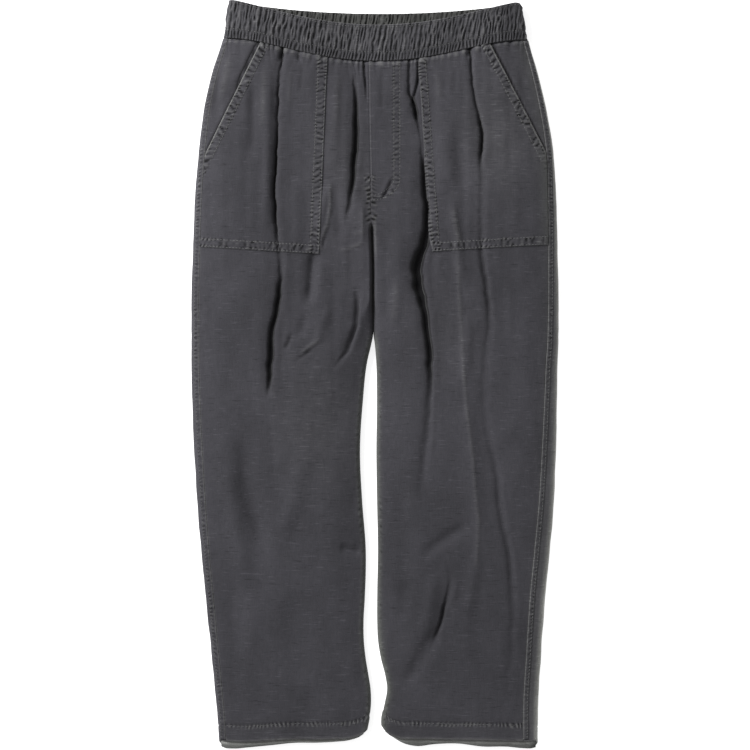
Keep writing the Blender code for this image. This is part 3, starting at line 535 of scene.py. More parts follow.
def signed_volume(points, quads, tris):
    tris = np.concatenate([tris.reshape(-1, 3), quads[:, [0, 1, 2]], quads[:, [0, 2, 3]]])
    a, b, c = points[tris[:, 0]], points[tris[:, 1]], points[tris[:, 2]]
    return float(np.einsum("ij,ij->i", a, np.cross(b, c)).sum() / 6)


def mesh_object(name, points, quads, tris, finish, values=None):
    """A smooth mesh object from quads and triangles, with its faces pointing out."""
    points = np.asarray(points, float) * MM
    quads = np.asarray(quads, int).reshape(-1, 4)
    tris = np.asarray(tris, int).reshape(-1, 3)
    if signed_volume(points, quads, tris) < 0:
        quads, tris = quads[:, ::-1], tris[:, ::-1]
    mesh = bpy.data.meshes.new(name)
    corners = np.concatenate([quads.ravel(), tris.ravel()])
    starts = np.concatenate([np.arange(len(quads)) * 4, len(quads) * 4 + np.arange(len(tris)) * 3])
    mesh.vertices.add(len(points))
    mesh.vertices.foreach_set("co", points.astype(np.float32).ravel())
    mesh.loops.add(len(corners))
    mesh.loops.foreach_set("vertex_index", corners.astype(np.int32))
    mesh.polygons.add(len(starts))
    mesh.polygons.foreach_set("loop_start", starts.astype(np.int32))
    mesh.update(calc_edges=True)
    mesh.shade_smooth()
    for key, value in (values or {}).items():
        layer = mesh.attributes.new(key, "FLOAT", "POINT")
        layer.data.foreach_set("value", np.asarray(value, np.float32))
    mesh.materials.append(finish)
    made = bpy.data.objects.new(name, mesh)
    bpy.context.scene.collection.objects.link(made)
    return made


def shell(name, skin, lining, finish, values, coarse=2, behind=None):
    """A closed thin shell: the lining has one row and column in so many of the skin's."""
    rows, columns = skin.shape[:2]
    lining = lining[::coarse, ::coarse]
    low = rows * columns

    def quads(shape, start):
        r, c = shape[:2]
        a = (np.arange(r - 1)[:, None] * c + np.arange(c - 1)[None, :]).ravel() + start
        return np.stack([a, a + 1, a + c + 1, a + c], 1)

    def rim(shape, start):
        index = np.arange(shape[0] * shape[1]).reshape(shape[:2]) + start
        return np.concatenate([index[0, :-1], index[:-1, -1], index[-1, :0:-1], index[:0:-1, 0]])

    top, bottom = rim(skin.shape, 0), rim(lining.shape, low)
    tris = []
    for j, b in enumerate(bottom):
        after = bottom[(j + 1) % len(bottom)]
        a = [top[(coarse * j + k) % len(top)] for k in range(coarse + 1)]
        tris += [(b, a[k + 1], a[k]) for k in range(coarse)]
        tris.append((b, after, a[-1]))
    faces = np.concatenate([quads(skin.shape, 0), quads(lining.shape, low)[:, ::-1]])
    points = np.concatenate([skin.reshape(-1, 3), lining.reshape(-1, 3)])
    spots = {}
    for key, value in values.items():
        under = 0.5 * value if behind is None else behind[key]
        spots[key] = np.concatenate([value.ravel(), under[::coarse, ::coarse].ravel()])
    return mesh_object(name, points, faces, tris, finish, spots)


def row_levels(top_run, low_run=36.0):
    """Shares of a panel's length: close together under the band and at the hem."""
    top = np.arange(0.0, top_run, 1.7)
    middle = np.arange(top_run, PANEL_LENGTH - low_run, 3.0)
    low = np.arange(PANEL_LENGTH - low_run, PANEL_LENGTH - 3.0, 1.8)
    end = PANEL_LENGTH - np.array([2.7, 1.9, 1.2, 0.7, 0.3, 0.1, 0.0])
    levels = np.concatenate([top, middle, low, end]) / PANEL_LENGTH
    return levels if len(levels) % 2 else np.delete(levels, len(top) + 5)


def rolled(distance, radius=EDGE_RADIUS):
    """How far a folded edge lies in from the surface, by the distance from the edge."""
    s = np.clip(distance, 0.0, radius)
    return radius - np.sqrt(radius**2 - (radius - s) ** 2)


def fold_shade(leg, x, y):
    """How dark the deep folds, tucks and sunken creases are painted: painted shade deep in them."""
    rise, _ = deep_folds(leg, x, y)
    small = tucks(leg, x, below_band(x, y)) / 3.2
    small = np.maximum(small, -soft_folds(CREASES, leg, x, y) / 3.0)
    return np.clip(-rise / 7.5, 0.0, 1.0) ** 1.8 * 0.95 + 0.8 * np.clip(small, 0.0, 1.0) ** 1.5


def crotch_run(y):
    """One along the puckered part of the centre seam, just above the fork."""
    return ease((y - 206) / 8) * ease((276 - y) / 8)


def crease_wear(leg, x, y):
    """How far the tops of the narrow creases are rubbed pale."""
    return 0.42 * np.clip(soft_folds(CREASES, leg, x, y) / 1.3, 0.0, 1.0) ** 1.5


def patches(table, x, y):
    """The sum of the soft oval places in a table, at x, y."""
    return sum(much * bell(np.hypot(x - at_x, (y - at_y) / 1.6), reach) for at_x, at_y, reach, much in table)


def band_wear(x, y):
    """How far the tops of the gathers under the band are rubbed pale."""
    return 0.8 * np.clip(pillows(x, y) - 0.7, 0.0, 0.3) / 0.3 * bell(below_band(x, y) - 3.5, 3.6)


def front_marks(leg, y):
    """Girths of the front's inner end, the turn's end, its two deep folds and the side seam."""
    names = ("b", "a") if leg == "left" else ("a", "b")
    quarter = outline("roll", y) * math.pi / 2
    first, second = (girth_of(leg, deep[(leg, n)]("x", y), y) for n in names)
    end = girth_of(leg, seam_x(leg, y), y)
    return 0 * y, quarter, np.maximum(first, quarter + 4.0), second, end


FRONT_SHARES = (spread(8, 0.0), spread(34, 0.6), spread(74, 0.66), spread(52, 0.66))


def front_panel(leg, finish):
    columns = [(k, s) for k, shares in enumerate(FRONT_SHARES) for s in shares[:-1]] + [(3, 1.0)]
    levels = row_levels(70.0)
    place, girth, depth = (np.zeros((len(levels), len(columns))) for _ in range(3))
    for c, (k, share) in enumerate(columns):
        y_top, y_end = np.array(TOP_GUESS), np.array(END_GUESS)

        def girth_at(y):
            marks = front_marks(leg, y)
            return mix(marks[k], marks[k + 1], share)

        for _ in range(4):
            x_top = front_surface(leg, girth_at(y_top), y_top)[..., 0]
            y_top = band_edge_y("front", x_top, 0.0) + UNDER_BAND
            x_end = front_surface(leg, girth_at(y_end), y_end)[..., 0]
            turned = 1 - np.clip(girth_at(y_end) / (outline("roll", y_end) * math.pi / 2), 0.0, 1.0)
            ends = [hem_edge_y(leg, face, x_end, y_end) for face in ("front", "back")]
            y_end = mix(*ends, 0.5 * turned)
        place[:, c] = y_top + (y_end - y_top) * levels
        girth[:, c] = girth_at(place[:, c])
        depth[:, c] = (y_top - y_end) * (1 - levels)
    base = front_surface(leg, girth, place)
    normal = grid_normals(base)
    lower = rolled(depth)
    to_inner = np.abs(base[..., 0] - edge_x(leg, "inner", place))
    x, y = base[..., 0], place
    hem_ridge = 1.7 * np.tanh(1.6 * pucker(x, depth - HEM_DEPTH + 0.6, 2.4, HEM_PUCKER, 20))
    ridge = hem_ridge + 1.9 * crotch_run(y) * pucker(y, to_inner - 3.5, 4.2, HEM_PUCKER, 90)
    ridge = ridge + 0.7 * pucker(y, to_inner - 4.5, 1.8, POCKET_PUCKER, 95) * ease((60 - y) / 30)
    pressed = 0.5 * bell(depth - HEM_DEPTH, 1.2) - 0.4 * ease((HEM_DEPTH - depth) / 1.5)
    groove = pocket_groove(leg, x, y)
    shut = ease((204 - y) / 7) * ease((y - 42) / 25)
    # Painted shade in the gap where the legs meet above the crotch.
    painted_gap_shade = shut * (0.75 * bell(to_inner, 1.7) if leg == "right" else 1.0 * bell(to_inner, 3.2) ** 2)
    skin = base + normal * (0.5 * ridge - pressed - lower - 0.9 * groove)[..., None]
    lining = base - normal * np.maximum(CLOTH, lower + 0.02)[..., None]
    wear_and_highlight = 0.55 * bell(np.abs(x - seam_x(leg, y)), 0.9) + 1.4 * bell(depth, 2.4)
    wear_and_highlight = wear_and_highlight + 0.1 * ease((HEM_DEPTH - depth) / 3.0) + patches(FADES, x, y)
    # Painted highlight on the right leg's inner edge above the crotch, where the left leg shades it.
    if leg == "right":
        wear_and_highlight = wear_and_highlight + 0.8 * bell(to_inner - 4.5, 1.8) * ease((y - 150) / 25) * ease((222 - y) / 10)
    wear_and_highlight = wear_and_highlight + 0.8 * np.maximum(ridge, 0.0) + 0.5 * np.maximum(hem_ridge, 0.0)
    # Painted shade: darker in the pucker hollows, the folds and creases, a painted shadow just outside the
    # pocket's edges and the gap by the crotch; the wash patches are the dye's own tone.
    painted_shade_and_dye = 0.8 * np.maximum(-ridge, 0.0) - 0.35 * np.maximum(-hem_ridge, 0.0) + fold_shade(leg, x, y)
    painted_shade_and_dye = painted_shade_and_dye + 0.9 * groove + painted_gap_shade + patches(WASH, x, y)
    values = {
        "wear_and_highlight": wear_and_highlight + band_wear(x, y) + crease_wear(leg, x, y),
        "painted_shade_and_dye": painted_shade_and_dye + 0.3 * bell(depth - HEM_DEPTH - 2.5, 1.2),
        # Painted light along the rolled edges: the right leg's outer side and lower inner edge, and both
        # legs' inner edges below the crotch.
        "edge": 0.4 * PAINTED_RIM_LIGHT[leg] * bell(np.abs(x - edge_x(leg, "outer", y)), 16.0)
        + 0.9 * fork(y) * (1 - shut) * bell(to_inner, 5.0)
        + 0.3 * PAINTED_RIM_LIGHT[leg] * ease((-300 - y) / 60) * bell(to_inner, 9.0),
    }
    piece = shell(f"front_panel_{leg}", skin, lining, finish, values)
    return piece, turned_hem(f"hem_turned_front_{leg}", base, normal, depth, finish)


def turned_hem(name, base, normal, depth, finish, edge=None):
    """The turned-up end inside a leg, meeting the panel in one folded edge."""
    rows = slice(-(np.count_nonzero(depth[:, 0] < HEM_DEPTH) // 2 * 2 + 1), None)
    base, normal, lower = base[rows, ::2], normal[rows, ::2], rolled(depth[rows, ::2])
    near = np.maximum(CLOTH, lower + 0.02) + 0.06
    far = np.maximum(near + 0.02, 2 * EDGE_RADIUS - lower)
    skin, lining = base - normal * far[..., None], base - normal * near[..., None]
    none = 0 * lower
    values = {"wear_and_highlight": none, "painted_shade_and_dye": none, "edge": none if edge is None else edge[rows, ::2]}
    return shell(name, skin, lining, finish, values, coarse=1)


def back_point(leg, kind, share, y):
    """Points, rough normals and the share turned under, for one column of the back."""
    side, roll, w = outward(leg), outline("roll", y), fork(y)
    outer, inner = edge_x(leg, "outer", y), edge_x(leg, "inner", y)
    if kind in ("flat", "roll"):
        flat = np.abs(outer - seam_x(leg, y)) - SEAM_GAP - roll
        girth = flat * share if kind == "flat" else flat + roll * math.pi * share
        point, normal = lap_point(leg, girth, y)
        bumps = 0.4 * noise(y / 26, share * 3.0 + 0 * y, 30) + 0.2 * noise(y / 9, share * 5.0, 31)
        bumps = bumps * normal[..., 0] ** 2
        return point + bumps[..., None] * normal, normal, 0.5 - 0.5 * normal[..., 2]
    if kind == "floor":
        x = mix(outer - side * roll, inner + side * roll, share)
        lift = np.maximum(soft_folds(UNDER_FOLDS, leg, x, y), 0.0) + BACK_HEM_LIFT * ease((-475.0 - y) / 32.0)
        z = lift + 0.25 * np.maximum(noise(x / 14, y / 22, 32), 0.0)
        return np.stack([x, y, z], -1), np.stack([0 * y, 0 * y, 0 * y - 1], -1), 1.0 + 0 * y
    turn = -math.pi / 2 * (1 - share)
    x = inner + side * roll * (1 - math.cos(turn))
    z = w * roll * (1 + math.sin(turn))
    normal = np.stack([-side * math.cos(turn) * w, 0 * y, mix(-1.0, math.sin(turn), w)], -1)
    normal = normal / np.maximum(np.linalg.norm(normal, axis=-1, keepdims=True), 1e-6)
    return np.stack([x, y, z], -1), normal, mix(1.0, 0.5 - 0.5 * math.sin(turn), w)


def lap_point(leg, girth, y):
    """Points and normals at a girth from the side seam, over the flat and the rolled edge."""
    side, roll = outward(leg), outline("roll", y)
    outer = edge_x(leg, "outer", y)
    flat = np.abs(outer - seam_x(leg, y)) - SEAM_GAP - roll
    turn = math.pi / 2 - np.maximum(girth - flat, 0.0) / roll
    x = outer - side * (roll * (1 - np.cos(turn)) + np.maximum(flat - girth, 0.0))
    rise = crest(y) * rise_from_edge(np.abs(outer - x))
    rise = rise + fine_relief(leg, x, y) - tucked(below_band(x, y))
    z = roll * (1 + np.sin(turn)) + rise * np.maximum(np.sin(turn), 0.0) ** 3
    point = np.stack([x, y + 0 * x, z], -1)
    return point, np.stack([side * np.cos(turn), 0 * x, np.sin(turn)], -1)


BACK_COLUMNS = (
    [("flat", s) for s in spread(6, 0.0)[:-1]]
    + [("roll", s) for s in spread(18, 0.0)[:-1]]
    + [("floor", s) for s in spread(44, 0.0)[:-1]]
    + [("inner", s) for s in spread(8, 0.0)]
)


def back_panel(leg, finish, pale):
    levels = row_levels(40.0)
    shape = (len(levels), len(BACK_COLUMNS))
    base, rough, depth = np.zeros(shape + (3,)), np.zeros(shape + (3,)), np.zeros(shape)
    for c, (kind, share) in enumerate(BACK_COLUMNS):
        y_top, y_end = np.array(TOP_GUESS), np.array(END_GUESS)
        for _ in range(4):
            point, normal, under = back_point(leg, kind, share, y_top)
            edges = [band_edge_y(face, point[..., 0], 0.0) for face in ("front", "back")]
            reach = UNDER_BAND * ease(1.6 * normal[..., 2] - 0.6)
            y_top = mix(*edges, under) - 0.5 + 1.2 * reach
            point, _, under = back_point(leg, kind, share, y_end)
            ends = [hem_edge_y(leg, face, point[..., 0], y_end) for face in ("front", "back")]
            y_end = mix(*ends, under)
        y = y_top + (y_end - y_top) * levels
        base[:, c], rough[:, c], _ = back_point(leg, kind, share, y)
        depth[:, c] = (y_top - y_end) * (1 - levels)
    normal = grid_normals(base, rough)
    lower = rolled(depth)
    x, y = base[..., 0], base[..., 1]
    ridge = pucker(x, depth - HEM_DEPTH + 0.6, 2.3, HEM_PUCKER, 24)
    pressed = 0.3 * bell(depth - HEM_DEPTH, 1.2)
    # Painted light along the right back's outer rim, stronger towards the hem; the pucker hollows get painted
    # shade.
    rim = mix(0.62, 0.98, ease((100.0 - y) / 450.0))
    rise = 0.25 * (ridge - 1) * ease((HEM_DEPTH + 3 - depth) / 3) - pressed - lower
    skin = base + normal * rise[..., None]
    lining = base - normal * np.maximum(CLOTH, lower + 0.02)[..., None]
    values = {
        "wear_and_highlight": 0.6 * bell(depth, 1.6) + 0.4 * np.maximum(ridge, 0.0),
        "painted_shade_and_dye": 0.5 * np.maximum(-ridge, 0.0),
        "edge": PAINTED_RIM_LIGHT[leg] * (0.06 + rim * bell(np.abs(x - edge_x(leg, "outer", y)), 4.4)),
    }
    piece = shell(f"back_panel_{leg}", skin, lining, finish, values)
    # Painted light: the back hem's inside is painted paler just below the front hem's edge, where that edge
    # shades it.
    edge = ease((6.0 - hem_edge_y(leg, "front", x, y) + y) / 3.0)
    return piece, turned_hem(f"hem_turned_back_{leg}", base, normal, depth, pale, edge)


LAP_GIRTHS = (0.0, 0.3, 0.8, 1.6, 2.6, 3.7, 4.8, LAP_ROW, 6.4, 7.0, 7.5, LAP_WIDTH)


def lap_relief(girth, y):
    """How far the felled strip stands off the back, and its puckers."""
    ridge = pucker(y, girth - LAP_ROW + 0.6, 1.9, 5.2, 40) + 0.35 * pucker(y, girth - 3.0, 3.0, 8.6, 42)
    body = ease(girth / 0.9) * ease((LAP_WIDTH - girth) / 1.0)
    return 0.1 + body * (0.6 + 0.4 * ridge) - 0.25 * bell(girth - LAP_ROW, 0.8), ridge * body


def side_lap(leg, finish):
    """The felled strip beside the side seam, puckered by its stitches."""
    top = band_edge_y("front", seam_x(leg, 455.0), 0.0) + 1.5
    y = np.linspace(top, -499.5, 663)[:, None]
    girth = np.array(LAP_GIRTHS)[None, :] + 0 * y
    y = y + 0 * girth
    lift, ridge = lap_relief(girth, y)
    base, normal = lap_point(leg, girth, y)
    # Painted shade in the pucker hollows; on the right leg the edge value is painted light.
    values = {
        "wear_and_highlight": 1.2 * bell(girth - 0.4, 0.9) + 0.6 * np.maximum(ridge, 0.0),
        "painted_shade_and_dye": 0.9 * np.maximum(-ridge, 0.0),
        "edge": 0.15 * PAINTED_RIM_LIGHT[leg] + 0 * girth,
    }
    skin, lining = base + lift[..., None] * normal, base + 0.05 * normal
    return shell(f"side_lap_{leg}", skin, lining, finish, values, coarse=1)


def rows_apart(leg):
    """How far apart the two stitch rows along each edge of a pocket are."""
    return {"mouth": 9.5, "inside": 11.2 if leg == "left" else 8.3, "bottom": 10.0}


def pocket_bounds(leg, y):
    """x of the pocket's outer and inner side at y."""
    x0, y0, x1, y1 = POCKET_EDGES[leg, "mouth"]
    mouth = x0 + (x1 - x0) * (y - y0) / (y1 - y0)
    seam = seam_x(leg, y) - outward(leg) * 0.4
    outer = np.minimum(mouth, seam) if leg == "right" else np.maximum(mouth, seam)
    x0, y0, x1, y1 = POCKET_EDGES[leg, "inside"]
    return outer, x0 + (x1 - x0) * (y - y0) / (y1 - y0)


def pocket(leg, finish):
    """A patch pocket: raised on the front, with pressed edges puckered between two stitch rows."""
    track = deep[(leg, "a" if leg == "left" else "b")]
    shares = [(0, s) for s in spread(48, 0.66)[:-1]] + [(1, s) for s in spread(46, 0.66)]
    v = spread(176, 0.35)
    x, y = np.zeros((len(v), len(shares))), np.zeros((len(v), len(shares)))
    for c, (half, share) in enumerate(shares):
        level = mix(170.0, 445.0, v)
        for _ in range(6):
            outer, inside = pocket_bounds(leg, level)
            ends = (outer, track("x", level), inside)
            across = mix(ends[half], ends[half + 1], share)
            x0, y0, x1, y1 = POCKET_EDGES[leg, "bottom"]
            low = y0 + (y1 - y0) * (across[0] - x0) / (x1 - x0)
            high = band_edge_y("front", across[-1], 0.0) + 2.0
            level = mix(low, high, v)
        x[:, c], y[:, c] = across, level
    edges = enumerate(rows_apart(leg).items())
    rows = [(*within(leg, edge, x, y), apart, 50 + 3 * k) for k, (edge, apart) in edges]
    edge_in = np.minimum.reduce([row[0] for row in rows])
    lift = 0.15 + 0.85 * ease(edge_in / 1.2)
    ridges, rub = 0 * lift, 0 * lift
    for inward, along, apart, layer in rows:
        cross = 1.0 if layer == 50 else 0.7
        from_row = inward - POCKET_ROW_IN
        wide = pucker(along, from_row - apart / 2, 0.42 * apart, POCKET_PUCKER, layer + 8)
        ridges = ridges + cross * wide
        for at in (0.6, apart - 0.4):
            layer = layer + 1
            ridges = ridges + 1.1 * pucker(along, from_row - at, 2.1, ROW_PUCKER, layer)
        lift = lift + 0.35 * ease((POCKET_ROW_IN + apart + 1.5 - inward) / 2.0) * ease(edge_in)
        for at in (POCKET_ROW_IN, POCKET_ROW_IN + apart):
            lift = lift - 0.3 * bell(inward - at - 0.7, 0.8) + 0.15 * bell(inward - at + 0.7, 0.9)
            rub = rub + 0.15 * bell(inward - at + 0.6, 0.8)
    ridges = ridges * ease(edge_in / 2.0)
    mouth_in, side_in, low_in = (row[0] for row in rows)
    wear_and_highlight = 1.8 * bell(mouth_in - 0.7, 1.3) + 0.3 * bell(np.minimum(side_in, low_in) - 0.4, 0.8) + rub
    wear_and_highlight = wear_and_highlight + 0.7 * np.maximum(ridges, 0.0)
    base = front_surface(leg, girth_of(leg, x, y), y)
    normal = grid_normals(base)
    skin = base + normal * (lift + 0.55 * ridges)[..., None]
    # Painted shade in the pucker hollows and the folds, beside the wash's dye patches; painted light near the
    # right leg's outer side.
    values = {
        "wear_and_highlight": wear_and_highlight + band_wear(x, y) + crease_wear(leg, x, y) + patches(FADES, x, y),
        "painted_shade_and_dye": 1.4 * np.maximum(-ridges, 0.0) + fold_shade(leg, x, y) + patches(WASH, x, y),
        "edge": PAINTED_RIM_LIGHT[leg] * bell(np.abs(x - edge_x(leg, "outer", y)), 16.0),
    }
    return shell(f"patch_pocket_{leg}", skin, base + 0.1 * normal, finish, values)


def fly_edge(share):
    """x and y along the fly's outer edge, from its top (0) down to the centre seam (1)."""
    x_in = edge_x("right", "inner", FLY_STRAIGHT_TO_Y)
    angle = np.clip((share - FLY_STRAIGHT) / (1 - FLY_STRAIGHT), 0.0, 1.0) * math.pi / 2
    y = np.where(
        share < FLY_STRAIGHT,
        mix(440.0, FLY_STRAIGHT_TO_Y, share / FLY_STRAIGHT),
        FLY_STRAIGHT_TO_Y - (FLY_STRAIGHT_TO_Y - FLY_END_Y) * np.sin(angle),
    )
    return x_in + FLY_WIDTH * np.cos(angle), y


def fly(finish):
    """The fly's layer: raised along the centre seam, and sewn down along its curved outer edge."""
    share = np.concatenate([np.linspace(0.0, FLY_STRAIGHT, 88)[:-1], np.linspace(FLY_STRAIGHT, 0.985, 40)])
    share = share[: len(share) // 2 * 2 - 1]
    out_x, out_y = fly_edge(share)
    top = band_edge_y("front", out_x, 0.0) + 2.0
    out_y = np.where(share < FLY_STRAIGHT, mix(top, FLY_STRAIGHT_TO_Y, share / FLY_STRAIGHT), out_y)
    inner_x = edge_x("right", "inner", out_y) + 0.15
    across = spread(26, 0.3)[None, :]
    x = mix(inner_x[:, None], out_x[:, None], across)
    y = out_y[:, None] + 0 * across
    stop = np.maximum((out_y[:, None] - FLY_END_Y) / 3.0, 0.0)
    inward = (out_x[:, None] - x) * ease(stop / 8 + 0.35)
    from_seam = x - inner_x[:, None]
    ridge = 0 * y
    for k, at in enumerate(FLY_ROWS_IN):
        ridge = ridge + 1.3 * pucker(y, inward - at - 0.5, 2.0, ROW_PUCKER, 60 + k)
    ridge = ridge + 0.9 * pucker(y, inward - 7.2, 3.2, 7.4, 66)
    ridge = ridge * ease(from_seam / 4)
    at_seam = 1.9 * crotch_run(y) * pucker(y, from_seam - 3.5, 4.0, HEM_PUCKER, 92)
    ridge = ridge + at_seam * ease(from_seam / 1.5)
    lift = 0.1 + 0.5 * ease(inward / 7.0) + 0.45 * bell(from_seam - 0.9, 1.3)
    lift = lift - 0.3 * sum(bell(inward - at, 0.9) for at in FLY_ROWS_IN)
    lift = (lift + 0.12) * ease(from_seam / 1.6 + 0.06) * ease(inward / 2.4 + 0.1) - 0.12
    base = front_surface("right", girth_of("right", x, y), y)
    normal = grid_normals(base)
    skin = base + normal * (lift + 0.3 * ridge)[..., None]
    # Painted shade in the pucker hollows and the folds.
    values = {
        "wear_and_highlight": 0.6 * np.maximum(ridge, 0.0) + band_wear(x, y) + 0.45 * bell(from_seam - 0.6, 0.9),
        "painted_shade_and_dye": 0.9 * np.maximum(-ridge, 0.0) + fold_shade("right", x, y),
        "edge": 0 * x,
    }
    return shell("fly_layer", skin, base - 0.25 * normal, finish, values)


def band_point(face, share, place):
    """Points and outward normals of one half of the band, by its height and its girth."""
    left, right = band("left_x", share), band("right_x", share)
    corner = np.clip((share - BAND_CORNER_FROM) / 0.16, 0.0, 1.0)
    right = right - BAND_CORNER_CUT * (1 - np.sqrt(1 - 0.98 * corner**2))
    quarter = BAND_ROLL * math.pi / 2
    flat = right - left - 2 * BAND_ROLL
    girth = place * (2 * quarter + flat)
    from_end = np.minimum(girth, 2 * quarter + flat - girth)
    turn = np.clip(from_end / BAND_ROLL, 0.0, math.pi / 2)
    d = BAND_ROLL * (1 - np.cos(turn)) + np.maximum(from_end - quarter, 0.0)
    x = np.where(place <= 0.5, left + d, right - d)
    nx, nz = np.where(place <= 0.5, -np.cos(turn), np.cos(turn)), np.sin(turn)
    if face == "front":
        z = band_height(d, nz)
    else:
        z, nz = BAND_ROLL * (1 - nz), -nz
    y = band_edge_y(face, x, share)
    return np.stack([x, y, z], -1), np.stack([nx, 0 * nx, nz], -1), girth


def gathers(girth, share, layer):
    """Irregular narrow folds of the casing round the elastic, between 0 and 1."""
    wander = 0.55 * noise(girth / 14, share * 2.4, layer)
    wander = wander + 0.25 * noise(girth / 5, share * 6, layer + 1)
    tall = np.abs(np.sin(math.pi * (girth / 6.3 + wander))) ** 1.5
    crossing = np.abs(np.sin(math.pi * (girth / 8.1 - 1.1 * wander + 0.4))) ** 2.2
    short = np.abs(np.sin(math.pi * (girth / 4.4 + 0.8 * wander + 0.3))) ** 1.3
    low = ease((BAND_STITCH - share) / 0.08)
    size = 0.8 + 0.3 * noise(girth / 8, share * 3.5, layer + 2)
    fold = mix(np.maximum(tall, 0.85 * crossing), 0.8 * short, low) * size
    return fold + 0.22 * noise(girth / 2.1, share * 8, layer + 3)


def band_half(face, finish):
    """One half of the waistband, gathered on both sides over its elastic."""
    place = np.linspace(0.0, 1.0, BAND_STEPS + 1)[None, :]
    ends = (0.0, 0.006, 0.016, 0.03)
    share = np.concatenate([ends, np.linspace(0.05, 0.95, 24), (0.97, 0.984, 0.994)])[:, None] / 0.994
    share, place = share + 0 * place, place + 0 * share
    base, normal, girth = band_point(face, share, place)
    edge = np.minimum(share, 1 - share) * BAND_HEIGHT
    layer = 70 if face == "front" else 80
    fold = gathers(girth, share, layer)
    rows = [(share - at) * BAND_HEIGHT for at in (BAND_STITCH, BAND_TOP_STITCH)]
    pinch = bell(rows[0], 1.1) + 0.8 * bell(rows[1], 1.0)
    lower = rolled(edge, 1.5)
    size = mix(0.55, 1.0, ease(edge / 3.0))
    rise = (3.0 * fold - 2.4) * size * (1 - 0.5 * pinch) - 0.9 * pinch - lower
    behind = gathers(girth + 2.0, share, layer + 5)
    sunk = BAND_WALL - 1.4 + 2.6 * (behind - 0.3) * size - lower
    skin = base + normal * rise[..., None]
    lining = base - normal * np.maximum(sunk, -rise + 0.1)[..., None]
    # Painted shade in the grooves between the gathers and along the stitch rows, on both faces.
    values = {
        "wear_and_highlight": 1.6 * np.clip(fold - 0.55, 0.0, 1.0) + 0.3 * bell(edge, 1.2),
        "painted_shade_and_dye": 1.6 * np.clip(0.5 - fold, 0.0, 1.0) + 0.3 * pinch,
        "edge": 0.15 + 0 * fold,
    }
    inside = {
        "wear_and_highlight": 1.0 * np.clip(behind - 0.6, 0.0, 1.0),
        "painted_shade_and_dye": 1.8 * np.clip(0.6 - behind, 0.0, 0.5),
        "edge": 0.9 + 0 * fold,
    }
    return shell(f"band_{face}", skin, lining, finish, values, 1, inside)


def unit(rows):
    return rows / np.maximum(np.linalg.norm(rows, axis=1, keepdims=True), 1e-9)


def threads(name, rows, finish, pitch):
    """Short stitches along rows of points, each a thin thread that dips in at both ends."""
    points, quads, tris = [], [], []
    rings = ((0.0, 0.25, -0.45), (0.12, 0.9, 0.0), (0.5, 1.0, 0.16), (0.88, 0.9, 0.0), (1.0, 0.25, -0.45))
    sides = 5
    count = 0
    for line, up in rows:
        step = np.linalg.norm(np.diff(line, axis=0), axis=1)
        run = np.concatenate([[0.0], np.cumsum(step)])
        starts = np.arange(0.6, run[-1] - STITCH_LENGTH, pitch)
        if not len(starts):
            continue
        ring_points = []

        def read(at, table):
            return np.stack([np.interp(at, run, table[:, k]) for k in range(3)], -1)

        for part, size, lift in rings:
            at = starts + part * STITCH_LENGTH
            here, along = read(at, line), unit(read(at + 0.4, line) - read(at - 0.4, line))
            side = unit(np.cross(along, read(at, up)))
            rise = np.cross(side, along)
            for k in range(sides):
                angle = 2 * math.pi * k / sides
                ring_points.append(
                    here + rise * lift
                    + THREAD_RADIUS * size * (math.cos(angle) * side + math.sin(angle) * rise)
                )
        block = np.stack(ring_points, 1)
        per = len(rings) * sides
        base = count + np.arange(len(starts)) * per
        for r in range(len(rings) - 1):
            for k in range(sides):
                a, b = r * sides + k, r * sides + (k + 1) % sides
                quads.append(np.stack([base + a, base + b, base + b + sides, base + a + sides], 1))
        for r, turn in ((0, 1), (len(rings) - 1, -1)):
            for k in range(1, sides - 1):
                tri = [base + r * sides, base + r * sides + k + 1, base + r * sides + k][::turn]
                tris.append(np.stack(tri, 1))
        points.append(block.reshape(-1, 3))
        count += len(starts) * per
    return mesh_object(name, np.concatenate(points), np.concatenate(quads), np.concatenate(tris), finish)


def sewn_on(piece, line, above=True):
    """Points of a row on a piece, found straight down or up at each x, y, and their normals."""
    tree = BVHTree.FromObject(piece, bpy.context.evaluated_depsgraph_get())
    found, normals = [], []
    start, way = (0.2, -1.0) if above else (-0.2, 1.0)
    for x, y in line:
        spot, normal, _, _ = tree.ray_cast((x * MM, y * MM, start), (0.0, 0.0, way))
        if spot is not None:
            found.append([c / MM for c in spot])
            normals.append(normal if normal.z * way < 0 else -normal)
    return np.array(found), np.array(normals)


def between(x0, y0, x1, y1, pitch=0.9):
    count = max(int(math.hypot(x1 - x0, y1 - y0) / pitch), 2)
    t = np.linspace(0.0, 1.0, count)
    return np.stack([mix(x0, x1, t), mix(y0, y1, t)], 1)


def moved_in(leg, edge, distance):
    """The two ends of a pocket's edge, moved in from it."""
    x0, y0, x1, y1 = POCKET_EDGES[leg, edge]
    length = math.hypot(x1 - x0, y1 - y0)
    shift = distance * pocket_side(leg, edge) / length
    shift_x, shift_y = -(y1 - y0) * shift, (x1 - x0) * shift
    return x0 + shift_x, y0 + shift_y, x1 + shift_x, y1 + shift_y


